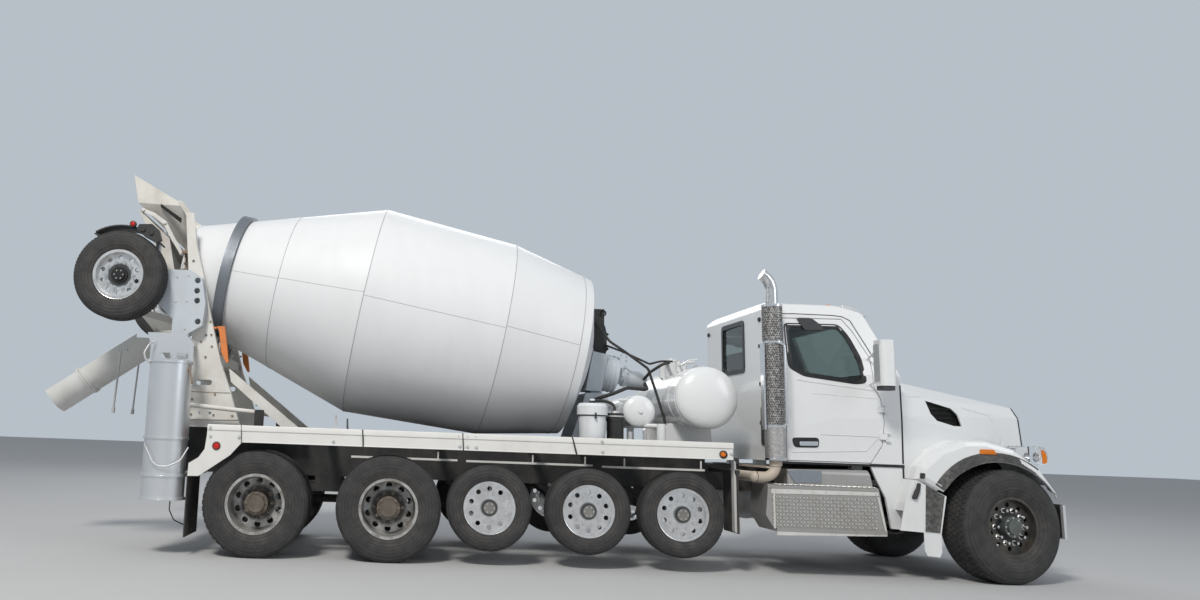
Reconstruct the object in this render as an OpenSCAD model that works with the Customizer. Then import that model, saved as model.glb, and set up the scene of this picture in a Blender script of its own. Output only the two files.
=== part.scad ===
// Concrete mixer truck with a lifted booster axle, at its real size.
// +X is forward, +Y is left and +Z is up. Heights are measured from the ground.
// Stations along X are measured from the rear drive axle, and shifted to the middle of the truck at the end.

/* [Wheels] */
// Rear drive axle to front axle
wheelbase = 7590; // [7400:10:7800]
// Rear drive axle to front drive axle
drive_spacing = 1340; // [1320:5:1380]
// Rear drive axle to the first pusher axle
pusher_1_x = 2357; // [2340:1:2400]
// Rear drive axle to the second pusher axle
pusher_2_x = 3360; // [3330:1:3400]
// Rear drive axle to the third pusher axle
pusher_3_x = 4312; // [4280:1:4340]
// Height of the lifted pusher axles
pusher_z = 567; // [540:1:600]
// Radius of the drive tyres
drive_r = 525; // [500:1:535]
// Width of a drive tyre
drive_w = 278; // [260:1:290]
// Radius of the pusher tyres
pusher_r = 422; // [400:1:440]
// Width of a pusher tyre
pusher_w = 248; // [230:1:260]
// Radius of the front tyres
front_r = 562; // [540:1:570]
// Width of a front tyre
front_w = 416; // [380:1:425]
// Radius of the booster tyres
booster_r = 461; // [440:1:470]
// Width of a booster tyre
booster_w = 300; // [280:1:305]
// Rim radius of the drive and front wheels
rim_large_r = 298; // [290:1:300]
// Rim radius of the pusher and booster wheels
rim_small_r = 260; // [250:1:265]
// Distance between the two tyres of a twin wheel, centre to centre
twin_pitch = 343; // [330:1:350]
// Centre of a twin wheel from the truck's middle plane
drive_y = 908; // [900:1:915]
// Centre of a pusher wheel from the truck's middle plane
pusher_y = 1076; // [1060:1:1090]
// Centre of a front wheel from the truck's middle plane, when it points ahead
front_y = 1040; // [1030:1:1050]
// Kingpin from the truck's middle plane
kingpin_y = 900; // [890:1:910]
// Centre of a booster wheel from the truck's middle plane
booster_y = 1060; // [1055:1:1070]
// Angle at which the front wheels stand, to the left
steer_rest = 10; // [0:1:15]
// Radial running clearance of a wheel on its spindle
run_gap = 0.08; // [0.05:0.01:0.1]

/* [Frame] */
// Top of the chassis rails
rail_top = 1060; // [1050:5:1080]
// Depth of the chassis rails
rail_h = 270; // [240:5:300]
// Outer face of the chassis rails from the middle plane
rail_y = 430; // [425:1:435]
// Width of the chassis rails' flanges
rail_flange = 90; // [80:1:100]
// Thickness of the chassis rails
rail_t = 12; // [8:1:16]
// Rear end of the chassis rails
rail_rear = -1040; // [-1060:5:-1020]
// Front face of the bumper
bumper_front = 8325; // [8300:5:8350]
// Thickness of the bumper
bumper_t = 60; // [50:1:65]
// Height of the mixer's sub-frame
subframe_h = 210; // [190:1:220]
// Outer face of the deck rails
deck_y = 1255; // [1240:1:1270]
// Depth of the deck rails
deck_h = 170; // [150:1:180]
// Front end of the deck rails
deck_front = 4800; // [4780:5:4820]
// Rear end of the deck rails
deck_rear = -505; // [-520:5:-490]

/* [Drum] */
// Station of the drum's widest section
drum_x = 1000; // [980:5:1020]
// Height of the drum's axis at its widest section
drum_z = 2685; // [2675:1:2720]
// Tilt of the drum's axis
drum_tilt = 10.5; // [10:0.1:11]
// Largest radius of the drum
drum_r = 1200; // [1150:5:1210]
// Wall of the drum
drum_wall = 8; // [6:1:12]
// Height of the roller track above the shell
track_rise = 43.3; // [35:0.1:50]
// Radius of a drum roller
roller_r = 110; // [90:1:112]
// Angle of the drum rollers from the lowest point
roller_angle = 25; // [22:1:26]
// Gap between the roller track and its rollers
seat_gap = 0.3; // [0.2:0.05:0.5]

/* [Cab] */
// Back wall of the cab
cab_rear = 5300; // [5290:5:5320]
// Seam between cab and hood
cab_front = 6655; // [6640:5:6665]
// Front end of the hood
hood_front = 8244; // [8220:1:8255]
// Underside of the cab
cab_floor = 1135; // [1120:5:1140]
// Half width of the cab
cab_half = 1055; // [1045:1:1060]
// Thickness of the cab's walls and doors
cab_wall = 45; // [40:1:50]
// Gap round the doors
door_gap = 8; // [6:1:9]
// Thickness of the glass
glass_t = 6; // [5:1:8]
// Thickness of the hood's shell
hood_t = 14; // [10:1:20]
// Outer face of the fenders
fender_y = 1210; // [1200:1:1220]

/* [Rear end] */
// Half distance between the outer faces of the tower's side plates
tower_y = 735; // [730:1:740]
// Thickness of the tower's side plates
tower_t = 15; // [12:1:16]
// Station of the booster arm's pivot
booster_px = -950; // [-955:1:-945]
// Height of the booster arm's pivot
booster_pz = 1050; // [1045:1:1055]
// Station of the stowed booster wheels
booster_x = -1560; // [-1565:1:-1555]
// Height of the stowed booster wheels
booster_z = 2810; // [2805:1:2815]
// Station of the chute's lift pivot
chute_px = -1250; // [-1260:5:-1240]
// Height of the chute's lift pivot
chute_pz = 2050; // [2040:5:2060]
// Slope of the chute
chute_slope = 35; // [33:1:37]
// Length of the main chute from its pivot
chute_len = 900; // [880:5:920]
// Length of the folding chute
fold_len = 430; // [400:5:440]
// Inner radius of the chutes
chute_r = 215; // [205:1:220]
// Thickness of the chutes
chute_t = 8; // [5:1:10]
// Edge of the chutes above their bottom
chute_depth = 265; // [250:1:280]

/* [Hidden] */
$fn = 64;
sides = [-1, 1];
// The cab, the hood and what they carry are drawn with the front axle at this station, and move with it
nose_axle = 7590;
nose_dx = wheelbase - nose_axle;
rail_bottom = rail_top - rail_h;
bumper_rear = bumper_front - bumper_t;
rail_front = bumper_rear + nose_dx - 75;
deck_top = 1300;
sub_top = rail_top + subframe_h;
front_z = front_r;
drive_z = drive_r;
spindle_r = 45;
kingpin_r = 22;
booster_pin_r = 55;
booster_arm_in = 755;
booster_arm_w = 110;
chute_bottom = 130;
chute_edge = chute_depth + chute_bottom;
chute_y = chute_r + chute_t;
fold_pin = [chute_len + 3, chute_edge + 16];
fold_pin_r = 7;
swivel_x = chute_px + 50;
outlet_x = swivel_x - 90;
outlet_z = chute_pz + 286;
// The collector's funnel from the side, above its outlet
funnel = [[-1500, 224], [-1500, 144], [-1000, 24], [-1000, 64], [-1160, 134]];
funnel_inside = [[-1488, 364], [-1488, 159], [-1012, 39], [-1012, 364]];
swivel_z = [chute_pz - 230, chute_pz - 150];
hopper_pin = [-965, 3560];
hood_pin = [8195, 900];
track_u = 1560;
motor_drop = 105;
gearbox_foot_z = 1835;
tank_r = 332;
hood_ear_y = 520;
grille_y = 360;
grille_z = [1000, 1700];
door_hinge = [6470, cab_half + 14];
sub_rear = -880;
// Front edge of the tower's side plates
tower_front = [
    [-270, sub_top], [-400, 1665], [-515, 1952], [-650, 2420], [-775, 2922], [-870, 3250], [-920, 3600]
];
// Stations of the cross members that reach out to the deck rails
outrigger_x = [-420, -50, 670, 1850, 2860, 3420, 3840, 4700];
// Outlines of the door and its window, from the side
door_outline = [
    [5442, 1150], [5442, 2640], [6105, 2650], [6205, 2520], [6352, 2240], [6370, 1930], [6432, 1806], [6460, 1576],
    [6430, 1330], [6310, 1150]
];
window_outline = [
    [5500, 2120], [5500, 2570], [6060, 2575], [6150, 2455], [6245, 2235], [6280, 1990], [6190, 1975], [5640, 2040]
];
hinge_z = [1420, 1700];
drum_profile = [
    // distance up the axis from the widest section, radius
    [-2622, 190], [-2590, 420], [-2446, 913], [-1525, 1120], [0, 1200], [1074, 865], [2090, 550]
];
// Radii of the drum's table follow its largest radius
function drum_at(r) = r * drum_r / 1200;
// Radius just outside the drum's shell, between the widest seam of the rear cone and the mouth
function track_inner(u) = drum_at(865 - (u - 1074) * (865 - 550) / (2090 - 1074)) + 0.3;
track_r = track_inner(track_u - 55) + track_rise;
roller_dist = track_r + roller_r + seat_gap;
roller_drop = roller_dist * cos(roller_angle);
roller_x = drum_x - track_u * cos(drum_tilt) - roller_drop * sin(drum_tilt);
roller_z = drum_z + track_u * sin(drum_tilt) - roller_drop * cos(drum_tilt);
// Booster cylinders, beside the arms
booster_ram_y = 895;
booster_foot = [-50, 1440];
booster_eye = [-850, 1500];
ram_length = norm(booster_eye - booster_foot);
x_rear = chute_px - (chute_len + fold_len) * cos(chute_slope) - (chute_edge + 10) * sin(chute_slope);
x_mid = (bumper_front + nose_dx + x_rear) / 2;

module placed() {
    translate([-x_mid, 0, 0]) children();
}

module nose() {
    translate([nose_dx - x_mid, 0, 0]) children();
}

module on_side(side) {
    // What is drawn on the left, on either side
    if (side > 0) children();
    else mirror([0, 1, 0]) children();
}

module at_side(side, x, y, z) {
    // Local +Z points away from the truck on either side
    translate([x, side * y, z]) rotate([-90 * side, 0, 0]) children();
}

module at_drum() {
    // Local +Z runs up the drum's axis to the rear, and local +X away from the ground
    translate([drum_x, 0, drum_z]) rotate([0, drum_tilt - 90, 0]) children();
}

module side_plate(points, y0, y1) {
    // An outline in X and Z, as thick as from y0 to y1
    translate([0, y1, 0]) rotate([90, 0, 0]) linear_extrude(y1 - y0) polygon(points);
}

module block(x, y, z) {
    // A box between the two values of each list
    translate([x[0], y[0], z[0]]) cube([x[1] - x[0], y[1] - y[0], z[1] - z[0]]);
}

module both_sides() {
    children();
    mirror([0, 1, 0]) children();
}

module rod_between(a, b, r) {
    d = b - a;
    translate(a)
        rotate([0, 0, atan2(d[1], d[0])])
            rotate([0, atan2(norm([d[0], d[1]]), d[2]), 0])
                cylinder(r = r, h = norm(d));
}

module pipe(points, r) {
    for (i = [0 : len(points) - 2]) {
        rod_between(points[i], points[i + 1], r);
        if (i > 0) translate(points[i]) sphere(r = r);
    }
}

// Wheels

module tyre(r, w, rim_r) {
    h = r - rim_r;
    half = [
        [rim_r - 14, 0.38], [rim_r + 0.1 * h, 0.43], [rim_r + 0.3 * h, 0.485], [rim_r + 0.5 * h, 0.5],
        [rim_r + 0.72 * h, 0.488], [rim_r + 0.88 * h, 0.45], [rim_r + 0.965 * h, 0.40], [r, 0.33]
    ];
    rotate_extrude($fn = 96)
        polygon(concat(
            [for (p = half) [p[0], -p[1] * w]],
            [for (i = [len(half) - 1 : -1 : 0]) [half[i][0], half[i][1] * w]]
        ));
}

module rim(rim_r, w, disc_z, holes, hole_r) {
    lip = 0.4 * w;
    seat_z = sign(disc_z) * min(abs(disc_z), lip - 30);
    difference() {
        union() {
            rotate_extrude($fn = 96)
                polygon([
                    [rim_r - 26, -lip], [rim_r, -lip], [rim_r, -lip + 12], [rim_r - 12, -lip + 20],
                    [rim_r - 12, lip - 20], [rim_r, lip - 12], [rim_r, lip], [rim_r - 26, lip]
                ]);
            // Disc, dished out to the rim where it stands outside it
            rotate_extrude($fn = 96) polygon([
                [0, disc_z - 11], [0.85 * rim_r, disc_z - 11], [rim_r - 20, seat_z - 11],
                [rim_r - 20, seat_z + 11], [0.85 * rim_r, disc_z + 11], [0, disc_z + 11]
            ]);
        }
        for (i = [0 : holes - 1])
            rotate([0, 0, (i + 0.5) * 360 / holes])
                translate([0.73 * rim_r, 0, disc_z]) cylinder(r = hole_r, h = 60, center = true);
    }
}

module hub(z_in, z_out, drum_r, hub_r) {
    // Brake drum, hub and cap
    translate([0, 0, z_in]) cylinder(r = drum_r, h = -z_in - 10);
    translate([0, 0, -12]) cylinder(r = hub_r, h = z_out - 30);
    translate([0, 0, z_out - 45]) cylinder(r = 0.72 * hub_r, h = 45);
}

module twin_wheel() {
    difference() {
        union() {
            for (s = sides) {
                translate([0, 0, s * twin_pitch / 2]) {
                    tyre(drive_r, drive_w, rim_large_r);
                    rim(rim_large_r, drive_w, -s * (twin_pitch / 2 - 10.5), 10, 32);
                }
            }
            hub(-210, 230, 205, 118);
        }
        translate([0, 0, -211]) cylinder(r = spindle_r + run_gap, h = 361);
    }
}

module single_wheel(r, w, rim_r, disc_z, z_in, drum_r, z_out, hub_r) {
    difference() {
        union() {
            tyre(r, w, rim_r);
            rim(rim_r, w, disc_z, 10, 24);
            translate([0, 0, z_in]) cylinder(r = drum_r, h = disc_z - z_in);
            translate([0, 0, disc_z]) cylinder(r = hub_r, h = z_out - disc_z - 20);
            translate([0, 0, disc_z]) cylinder(r = 0.7 * hub_r, h = z_out - disc_z);
        }
        translate([0, 0, z_in - 1]) cylinder(r = spindle_r + run_gap, h = disc_z + 31 - z_in);
    }
}

module drive_wheel(side, x) {
    color([0.1, 0.1, 0.1]) at_side(side, x, drive_y, drive_z) twin_wheel();
}

module pusher_wheel(side, x) {
    color([0.12, 0.12, 0.12]) at_side(side, x, pusher_y, pusher_z)
        single_wheel(pusher_r, pusher_w, rim_small_r, 60, -90, 150, 105, 85);
}

module booster_wheel(side) {
    color([0.12, 0.12, 0.12]) at_side(side, booster_x, booster_y, booster_z)
        single_wheel(booster_r, booster_w, rim_small_r, 50, -100, 150, 100, 85);
}

module steered(side) {
    translate([wheelbase, side * kingpin_y, 0]) rotate([0, 0, steer_rest])
        translate([-wheelbase, -side * kingpin_y, 0]) children();
}

module front_wheel(side) {
    color([0.12, 0.12, 0.12]) steered(side) at_side(side, wheelbase, front_y, front_z)
        single_wheel(front_r, front_w, rim_large_r, 95, -60, 190, 190, 105);
}

module knuckle(side) {
    // A yoke over the axle's end, its kingpin, and the spindle that carries the wheel
    color([0.15, 0.15, 0.15]) steered(side) {
        at_side(side, wheelbase, front_y, front_z) {
            translate([0, 0, -62]) mirror([0, 0, 1]) cylinder(r = 85, h = 18);
            translate([0, 0, -80]) cylinder(r = spindle_r, h = 80 + 95 + 25);
        }
        translate([wheelbase, side * kingpin_y, front_z]) {
            for (s = sides) {
                translate([0, 0, s * 80]) cube([90, 90, 48], center = true);
                translate([-45, side * 45 - 22, s * 80 - 24]) cube([90, 44, 48]);
            }
            translate([-45, side * 56 - 12, -104]) cube([90, 24, 208]);
            cylinder(r = kingpin_r, h = 220, center = true);
            // Steering arm to the rear
            translate([-245, side * -20 - 25, -104]) cube([245, 50, 30]);
        }
    }
}

// Frame and axles

module chassis_frame() {
    color([0.08, 0.08, 0.08]) {
        both_sides() difference() {
            block([rail_rear, rail_front], [rail_y - rail_flange, rail_y], [rail_bottom, rail_top]);
            block([rail_rear - 1, rail_front + 1], [rail_y - rail_flange - 1, rail_y - rail_t],
                [rail_bottom + rail_t, rail_top - rail_t]);
        }
        for (x = [rail_rear, -300, 520, 1500, 2800, 3800, 4900, 5600])
            block([x, x + 20], [-rail_y + rail_t, rail_y - rail_t], [rail_bottom + rail_t, rail_top - rail_t]);
        // Pivot of the booster arms, with its bearings under the rails' rear end
        translate([booster_px, 0, booster_pz]) rotate([90, 0, 0])
            cylinder(r = booster_pin_r, h = 2 * (booster_arm_in + booster_arm_w + 12), center = true);
    }
}

module rear_hitch_holes() {
    for (y = sides, z = sides)
        translate([rail_rear - 1, y * 42.8, 900 + z * 22.2]) rotate([0, 90, 0]) cylinder(r = 8.7, h = 30);
}

module mixer_subframe() {
    color([0.1, 0.1, 0.1]) {
        both_sides() block([sub_rear, deck_front], [rail_y - rail_flange, rail_y], [rail_top, sub_top]);
        for (x = outrigger_x)
            block([x - 40, x + 40], [-deck_y + 20, deck_y - 20], [sub_top - 80, sub_top]);
        block([3560, 3860], [-970, -740], [sub_top - 12, sub_top]);
        // Brackets and pins at the feet of the booster's cylinders
        both_sides() translate([booster_foot[0], booster_ram_y, booster_foot[1]]) {
            for (k = sides)
                translate([-45, k * 31 - 4, sub_top - booster_foot[1] - 1])
                    cube([90, 8, booster_foot[1] - sub_top + 30]);
            rotate([90, 0, 0]) cylinder(r = 12, h = 66, center = true);
        }
    }
}

module front_axle() {
    color([0.12, 0.12, 0.12]) {
        difference() {
            union() {
                rotate([90, 0, 90]) translate([0, 0, wheelbase - 45]) linear_extrude(90)
                    polygon([
                        [-kingpin_y + 10, 612], [-kingpin_y + 10, 512], [-640, 512], [-480, 430], [480, 430],
                        [640, 512], [kingpin_y - 10, 512], [kingpin_y - 10, 612], [620, 612], [460, 530],
                        [-460, 530], [-620, 612]
                    ]);
                for (s = sides)
                    translate([wheelbase, s * kingpin_y, 512]) cylinder(r = 42, h = 100);
            }
            for (s = sides)
                translate([wheelbase, s * kingpin_y, 500]) cylinder(r = kingpin_r + run_gap, h = 130);
        }
        // Leaf springs and their hangers under the rails
        both_sides() {
            side_plate([
                [wheelbase - 650, rail_bottom - 60], [wheelbase - 650, rail_bottom - 85], [wheelbase - 60, 530],
                [wheelbase + 60, 530], [wheelbase + 580, rail_bottom - 85], [wheelbase + 580, rail_bottom - 60],
                [wheelbase + 60, 600], [wheelbase - 60, 600]
            ], rail_y - 88, rail_y - 8);
            for (x = [wheelbase - 650, wheelbase + 540])
                block([x, x + 40], [rail_y - 88, rail_y - 8], [rail_bottom - 85, rail_bottom]);
        }
    }
}

module axle_tube(x, z, y_end, tube_r, y_spindle) {
    translate([x, 0, z]) rotate([90, 0, 0]) {
        cylinder(r = tube_r, h = 2 * y_end, center = true);
        cylinder(r = spindle_r, h = 2 * y_spindle, center = true);
    }
}

module drive_axles() {
    color([0.12, 0.12, 0.12]) {
        for (x = [0, drive_spacing]) {
            axle_tube(x, drive_z, drive_y - 212, 70, drive_y + 145);
            translate([x, 0, drive_z]) sphere(r = 190);
            both_sides() block([x - 70, x + 70], [rail_y - 85, rail_y], [drive_z, drive_z + 110]);
        }
        translate([drive_spacing / 2, 0, drive_z]) rotate([0, 90, 0])
            cylinder(r = 45, h = drive_spacing, center = true);
        // Spring packs and their trunnions under the rails
        both_sides() {
            block([-120, drive_spacing + 120], [rail_y - 85, rail_y], [drive_z + 100, drive_z + 170]);
            block([drive_spacing / 2 - 140, drive_spacing / 2 + 140], [rail_y - 85, rail_y],
                [drive_z + 100, rail_bottom]);
        }
    }
}

module pusher_axles() {
    color([0.12, 0.12, 0.12])
        for (x = [pusher_1_x, pusher_2_x, pusher_3_x]) {
            axle_tube(x, pusher_z, pusher_y - 96, 55, pusher_y + 85);
            both_sides() {
                translate([x, rail_y - 50, pusher_z]) cylinder(r = 85, h = rail_bottom - pusher_z);
                side_plate([
                    [x - 60, pusher_z - 40], [x + 40, pusher_z - 40], [x + 40, pusher_z + 40],
                    [x - 330, rail_bottom], [x - 430, rail_bottom]
                ], rail_y - 60, rail_y - 20);
            }
        }
}

module engine() {
    // Engine, transmission and radiator as one plain heavy block
    color([0.3, 0.3, 0.32]) {
        block([6760, 7760], [-300, 300], [820, 1640]);
        block([5850, 6770], [-200, 200], [820, 1100]);
        block([7750, 8060], [-250, 250], [1080, 1300]);
        block([7960, 8060], [-400, 400], [rail_top, 1720]);
        for (x = [6880, 7500])
            block([x, x + 90], [-rail_y + 10, rail_y - 10], [rail_top, rail_top + 40]);
    }
}

module bumper() {
    color([0.75, 0.75, 0.76]) difference() {
        union() {
            linear_extrude_z(450, 790) polygon([
                [bumper_rear, -930], [bumper_rear - 10, -1075], [bumper_rear + 8, -1085], [bumper_front - 22, -960],
                [bumper_front, -800], [bumper_front, 800], [bumper_front - 22, 960], [bumper_rear + 8, 1085],
                [bumper_rear - 10, 1075], [bumper_rear, 930]
            ]);
            both_sides() {
                // Bracket on the rail's end, and the hood's hinge post with its pin
                block([bumper_rear - 75, bumper_rear + 1], [rail_y - 80, rail_y - 10], [700, 850]);
                block([hood_pin[0] - 25, bumper_rear + 1], [hood_ear_y - 60, hood_ear_y - 34], [720, 790]);
                block([hood_pin[0] - 25, hood_pin[0] + 25], [hood_ear_y - 60, hood_ear_y - 34], [720, hood_pin[1]]);
                translate([hood_pin[0], hood_ear_y - 34, hood_pin[1]]) rotate([90, 0, 0])
                    cylinder(r = 25, h = 26);
                translate([hood_pin[0], hood_ear_y + 30, hood_pin[1]]) rotate([90, 0, 0])
                    cylinder(r = 12, h = 70);
            }
        }
        for (s = sides)
            translate([bumper_front - bumper_t / 2, s * 385, 440]) cylinder(r = 16, h = 360);
    }
}

module linear_extrude_z(z0, z1) {
    translate([0, 0, z0]) linear_extrude(z1 - z0) children();
}

// Cab

module cab_side_2d(inset, drop) {
    // The cab from the side
    offset(delta = -inset) offset(r = 60) offset(delta = -60) polygon([
        [cab_rear, cab_floor - drop], [cab_rear, 2760], [cab_rear + 90, 2850], [5700, 2868], [6000, 2838],
        [6330, 2735], [6660, 2050], [cab_front, 1990], [cab_front, cab_floor - drop]
    ]);
}

module cab_front_2d(inset, drop) {
    // The cab from the front, narrower towards the roof
    offset(delta = -inset) offset(r = 70) offset(delta = -70) polygon([
        [-cab_half + 15, cab_floor - drop], [-cab_half + 15, 1180], [-cab_half, 1600], [-cab_half + 10, 2060],
        [-930, 2700], [-840, 2815], [-500, 2872], [500, 2872], [840, 2815], [930, 2700],
        [cab_half - 10, 2060], [cab_half, 1600],
        [cab_half - 15, 1180], [cab_half - 15, cab_floor - drop]
    ]);
}

module cab_top_2d(inset) {
    // The cab from above, with round rear corners
    offset(delta = -inset) offset(r = 110) offset(delta = -110) polygon([
        [cab_rear, -840], [cab_rear + 60, -cab_half + 6], [cab_front + 300, -cab_half - 10],
        [cab_front + 300, cab_half + 10], [cab_rear + 60, cab_half - 6], [cab_rear, 840]
    ]);
}

module cab_solid(inset) {
    drop = 300;
    intersection() {
        translate([0, 1300, 0]) rotate([90, 0, 0]) linear_extrude(2600) cab_side_2d(inset, drop);
        rotate([90, 0, 90]) linear_extrude(8000) cab_front_2d(inset, drop);
        linear_extrude(3200) cab_top_2d(inset);
        block([5000, 7000], [-1500, 1500], [inset > 0 ? cab_floor - 1 : cab_floor, 3200]);
    }
}

module cab_skin() {
    // Walls and roof, with no floor
    difference() {
        cab_solid(0);
        cab_solid(cab_wall);
    }
}

module door_cut(side, grow) {
    y = side > 0 ? [600, 1400] : [-1400, -600];
    translate([0, y[1], 0]) rotate([90, 0, 0]) linear_extrude(y[1] - y[0])
        offset(delta = grow) polygon(door_outline);
}

module window_cut(side, grow) {
    y = side > 0 ? [600, 1400] : [-1400, -600];
    translate([0, y[1], 0]) rotate([90, 0, 0]) linear_extrude(y[1] - y[0])
        offset(delta = grow) polygon(window_outline);
}

module windshield_cut(grow) {
    rotate([90, 0, 90]) translate([0, 0, 6250]) linear_extrude(500) offset(delta = grow)
        polygon([[-850, 2110], [-745, 2640], [745, 2640], [850, 2110]]);
}

module rear_window_cut(grow) {
    rotate([90, 0, 90]) translate([0, 0, cab_rear - 50]) linear_extrude(200)
        offset(r = grow + 30) offset(delta = -30) polygon([[-330, 2130], [-330, 2640], [330, 2640], [330, 2130]]);
}

module cab_shell() {
    color([0.93, 0.93, 0.93]) {
        difference() {
            cab_skin();
            for (s = sides) door_cut(s, door_gap);
            windshield_cut(0);
            rear_window_cut(0);
        }
        block([cab_rear + cab_wall - 1, cab_front - cab_wall + 1], [-cab_half + 70, cab_half - 70],
            [cab_floor, cab_floor + cab_wall]);
        // Hinge pins of the doors, on lugs at the cab's front posts
        for (s = sides, z = hinge_z)
            translate([door_hinge[0], s * door_hinge[1], z]) {
                translate([0, 0, -44]) cylinder(r = 5, h = 88);
                for (k = sides) {
                    translate([0, 0, k * 38 - 8]) cylinder(r = 9, h = 16);
                    translate([0, s > 0 ? -45 : -5, k * 38 - 8]) cube([40, 50, 16]);
                }
            }
        // Mounts on the chassis rails
        both_sides() for (x = [cab_rear + 60, 6420])
            block([x, x + 120], [rail_y - 80, rail_y], [rail_top, cab_floor + 1]);
    }
}

module cab_glass() {
    color([0.2, 0.25, 0.25, 0.5]) {
        intersection() {
            glass_layer();
            windshield_cut(-0.3);
        }
        intersection() {
            glass_layer();
            rear_window_cut(-0.3);
        }
    }
}

module glass_layer() {
    difference() {
        cab_solid(12);
        cab_solid(12 + glass_t);
    }
}

module cab_interior() {
    floor_top = cab_floor + cab_wall;
    color([0.25, 0.25, 0.27]) {
        for (s = sides) {
            block([5620, 6080], [s * 520 - 240, s * 520 + 240], [floor_top, 1520]);
            side_plate([[5500, 1500], [5640, 1500], [5600, 2150], [5560, 2380], [5470, 2380], [5440, 2100]],
                s * 520 - 220, s * 520 + 220);
            block([5500, 5640], [s * 520 - 220, s * 520 + 220], [floor_top, 1520]);
        }
        side_plate([[6280, 1500], [6330, 1880], [6420, 1960], [6600, 1960], [6600, floor_top], [6500, floor_top]],
            -900, 900);
        // Steering column and wheel in front of the left seat
        rod_between([6330, 520, 1650], [6190, 520, 1790], 30);
        translate([6180, 520, 1800]) rotate([0, -50, 0]) rotate_extrude() translate([201, -14]) square(28);
        translate([6180, 520, 1800]) rotate([0, -50, 0]) translate([0, 0, -40]) cylinder(r = 45, h = 52);
        translate([6180, 520, 1800]) rotate([0, -50, 0]) for (a = [0, 120, 240])
            rotate([0, 0, a]) translate([0, -18, -9]) cube([212, 36, 18]);
    }
}

module door(side) {
    color([0.93, 0.93, 0.93]) {
        difference() {
            intersection() {
                cab_skin();
                door_cut(side, 0);
            }
            window_cut(side, 0);
        }
        // Hinge barrels round the cab's pins
        for (z = hinge_z)
            difference() {
                union() {
                    translate([door_hinge[0], side * door_hinge[1], z - 29]) cylinder(r = 11, h = 58);
                    on_side(side) {
                        block([6405, door_hinge[0]], [door_hinge[1] - 11, door_hinge[1] + 3], [z - 29, z + 29]);
                        block([6405, 6430], [cab_half - 25, door_hinge[1] - 10], [z - 29, z + 29]);
                    }
                }
                translate([door_hinge[0], side * door_hinge[1], z - 30]) cylinder(r = 5 + run_gap, h = 60);
            }
        mirror_head(side);
    }
}

module mirror_head(side) {
    // Mirror head on two arms, carried by the door's front edge
    on_side(side) {
        translate([0, 0, 1925]) linear_extrude(465) offset(r = 45) offset(delta = -45)
            polygon([[6250, 1270], [6250, 1450], [6375, 1450], [6410, 1410], [6410, 1270]]);
        for (z = [2000, 2330]) rod_between([6330, 1275, z], [6330, 1010, z > 2100 ? 2220 : 1950], 12);
    }
}

module door_glass(side) {
    color([0.15, 0.2, 0.2, 0.5]) intersection() {
        glass_layer();
        window_cut(side, -0.3);
    }
}

// Hood

module hood_rear_2d(inset) {
    offset(delta = -inset) polygon([
        [-1020, 700], [-1030, 1010], [-1045, 1650], [-990, 1850], [-640, 2060], [0, 2095], [640, 2060],
        [990, 1850], [1045, 1650], [1030, 1010], [1020, 700]
    ]);
}

module hood_front_2d(inset) {
    offset(delta = -inset) polygon([
        [-540, 700], [-545, 1350], [-505, 1680], [-400, 1800], [0, 1850], [400, 1800], [505, 1680], [545, 1350],
        [540, 700]
    ]);
}

module slice_x(x) {
    translate([x, 0, 0]) rotate([90, 0, 90]) linear_extrude(1) children();
}

module fender_2d(inset) {
    offset(delta = -inset) polygon([
        [6690, 1003], [6730, 1131], [6940, 1314], [7196, 1412], [7410, 1420], [7705, 1345], [7949, 1175],
        [8120, 930], [8140, 850], [6998, 850]
    ]);
}

module slice_y(y) {
    translate([0, y + 1, 0]) rotate([90, 0, 0]) linear_extrude(1) children();
}

module fender_block(inset, y) {
    hull() {
        slice_y(560) fender_2d(inset);
        slice_y(y - 70) fender_2d(inset);
        slice_y(y - 18) fender_2d(inset + 20);
        slice_y(y - 1) fender_2d(inset + 60);
    }
}

module wheel_arch(y0, y1, r) {
    translate([nose_axle - 60, y1, 530]) rotate([90, 0, 0]) cylinder(r = r, h = y1 - y0, $fn = 128);
}

module hood_block(inset, x0, x1) {
    hull() {
        slice_x(x0) hood_rear_2d(inset);
        slice_x(x1) hood_front_2d(inset);
    }
}

module hood() {
    color([0.93, 0.93, 0.93]) difference() {
        union() {
            difference() {
                union() {
                    hood_block(0, cab_front + 6, hood_front);
                    both_sides() fender_block(0, fender_y);
                }
                hood_block(hood_t, cab_front - 20, hood_front - hood_t);
                block([cab_front - 150, hood_front + 150], [-1300, 1300], [600, 851]);
                both_sides() fender_block(hood_t, fender_y - hood_t);
                side_plate([[6600, 600], [6600, 1010], [6900, 1010], [7200, 930], [8300, 930], [8300, 600]],
                    -560, 560);
                side_plate([[6600, 600], [6600, 1010], [6690, 1003], [6998, 850], [7100, 600]], -1300, 1300);
                both_sides() {
                    wheel_arch(500, fender_y - 30, 715);
                    wheel_arch(500, fender_y + 30, 672);
                }
            }
            both_sides() {
                translate([hood_pin[0], hood_ear_y + 26, hood_pin[1]]) rotate([90, 0, 0])
                    cylinder(r = 26, h = 50);
                block([hood_pin[0] - 26, hood_front - 1], [hood_ear_y - 24, hood_ear_y + 26], [hood_pin[1], 990]);
            }
        }
        for (s = sides)
            translate([hood_pin[0], s * hood_ear_y + 40, hood_pin[1]]) rotate([90, 0, 0])
                cylinder(r = 12 + run_gap, h = 80);
        block([hood_front - 44, hood_front + 50], [-grille_y, grille_y], grille_z);
        both_sides() {
            // Vent in the side, and the flute behind the nose
            side_plate([
                [6999, 1822], [7330, 1752], [7400, 1690], [7440, 1565], [7330, 1565], [7110, 1612], [7040, 1680]
            ], 500, 1100);
            translate([8000, 708, 1390]) cylinder(r = 90, h = 500);
        }
    }
}

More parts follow.
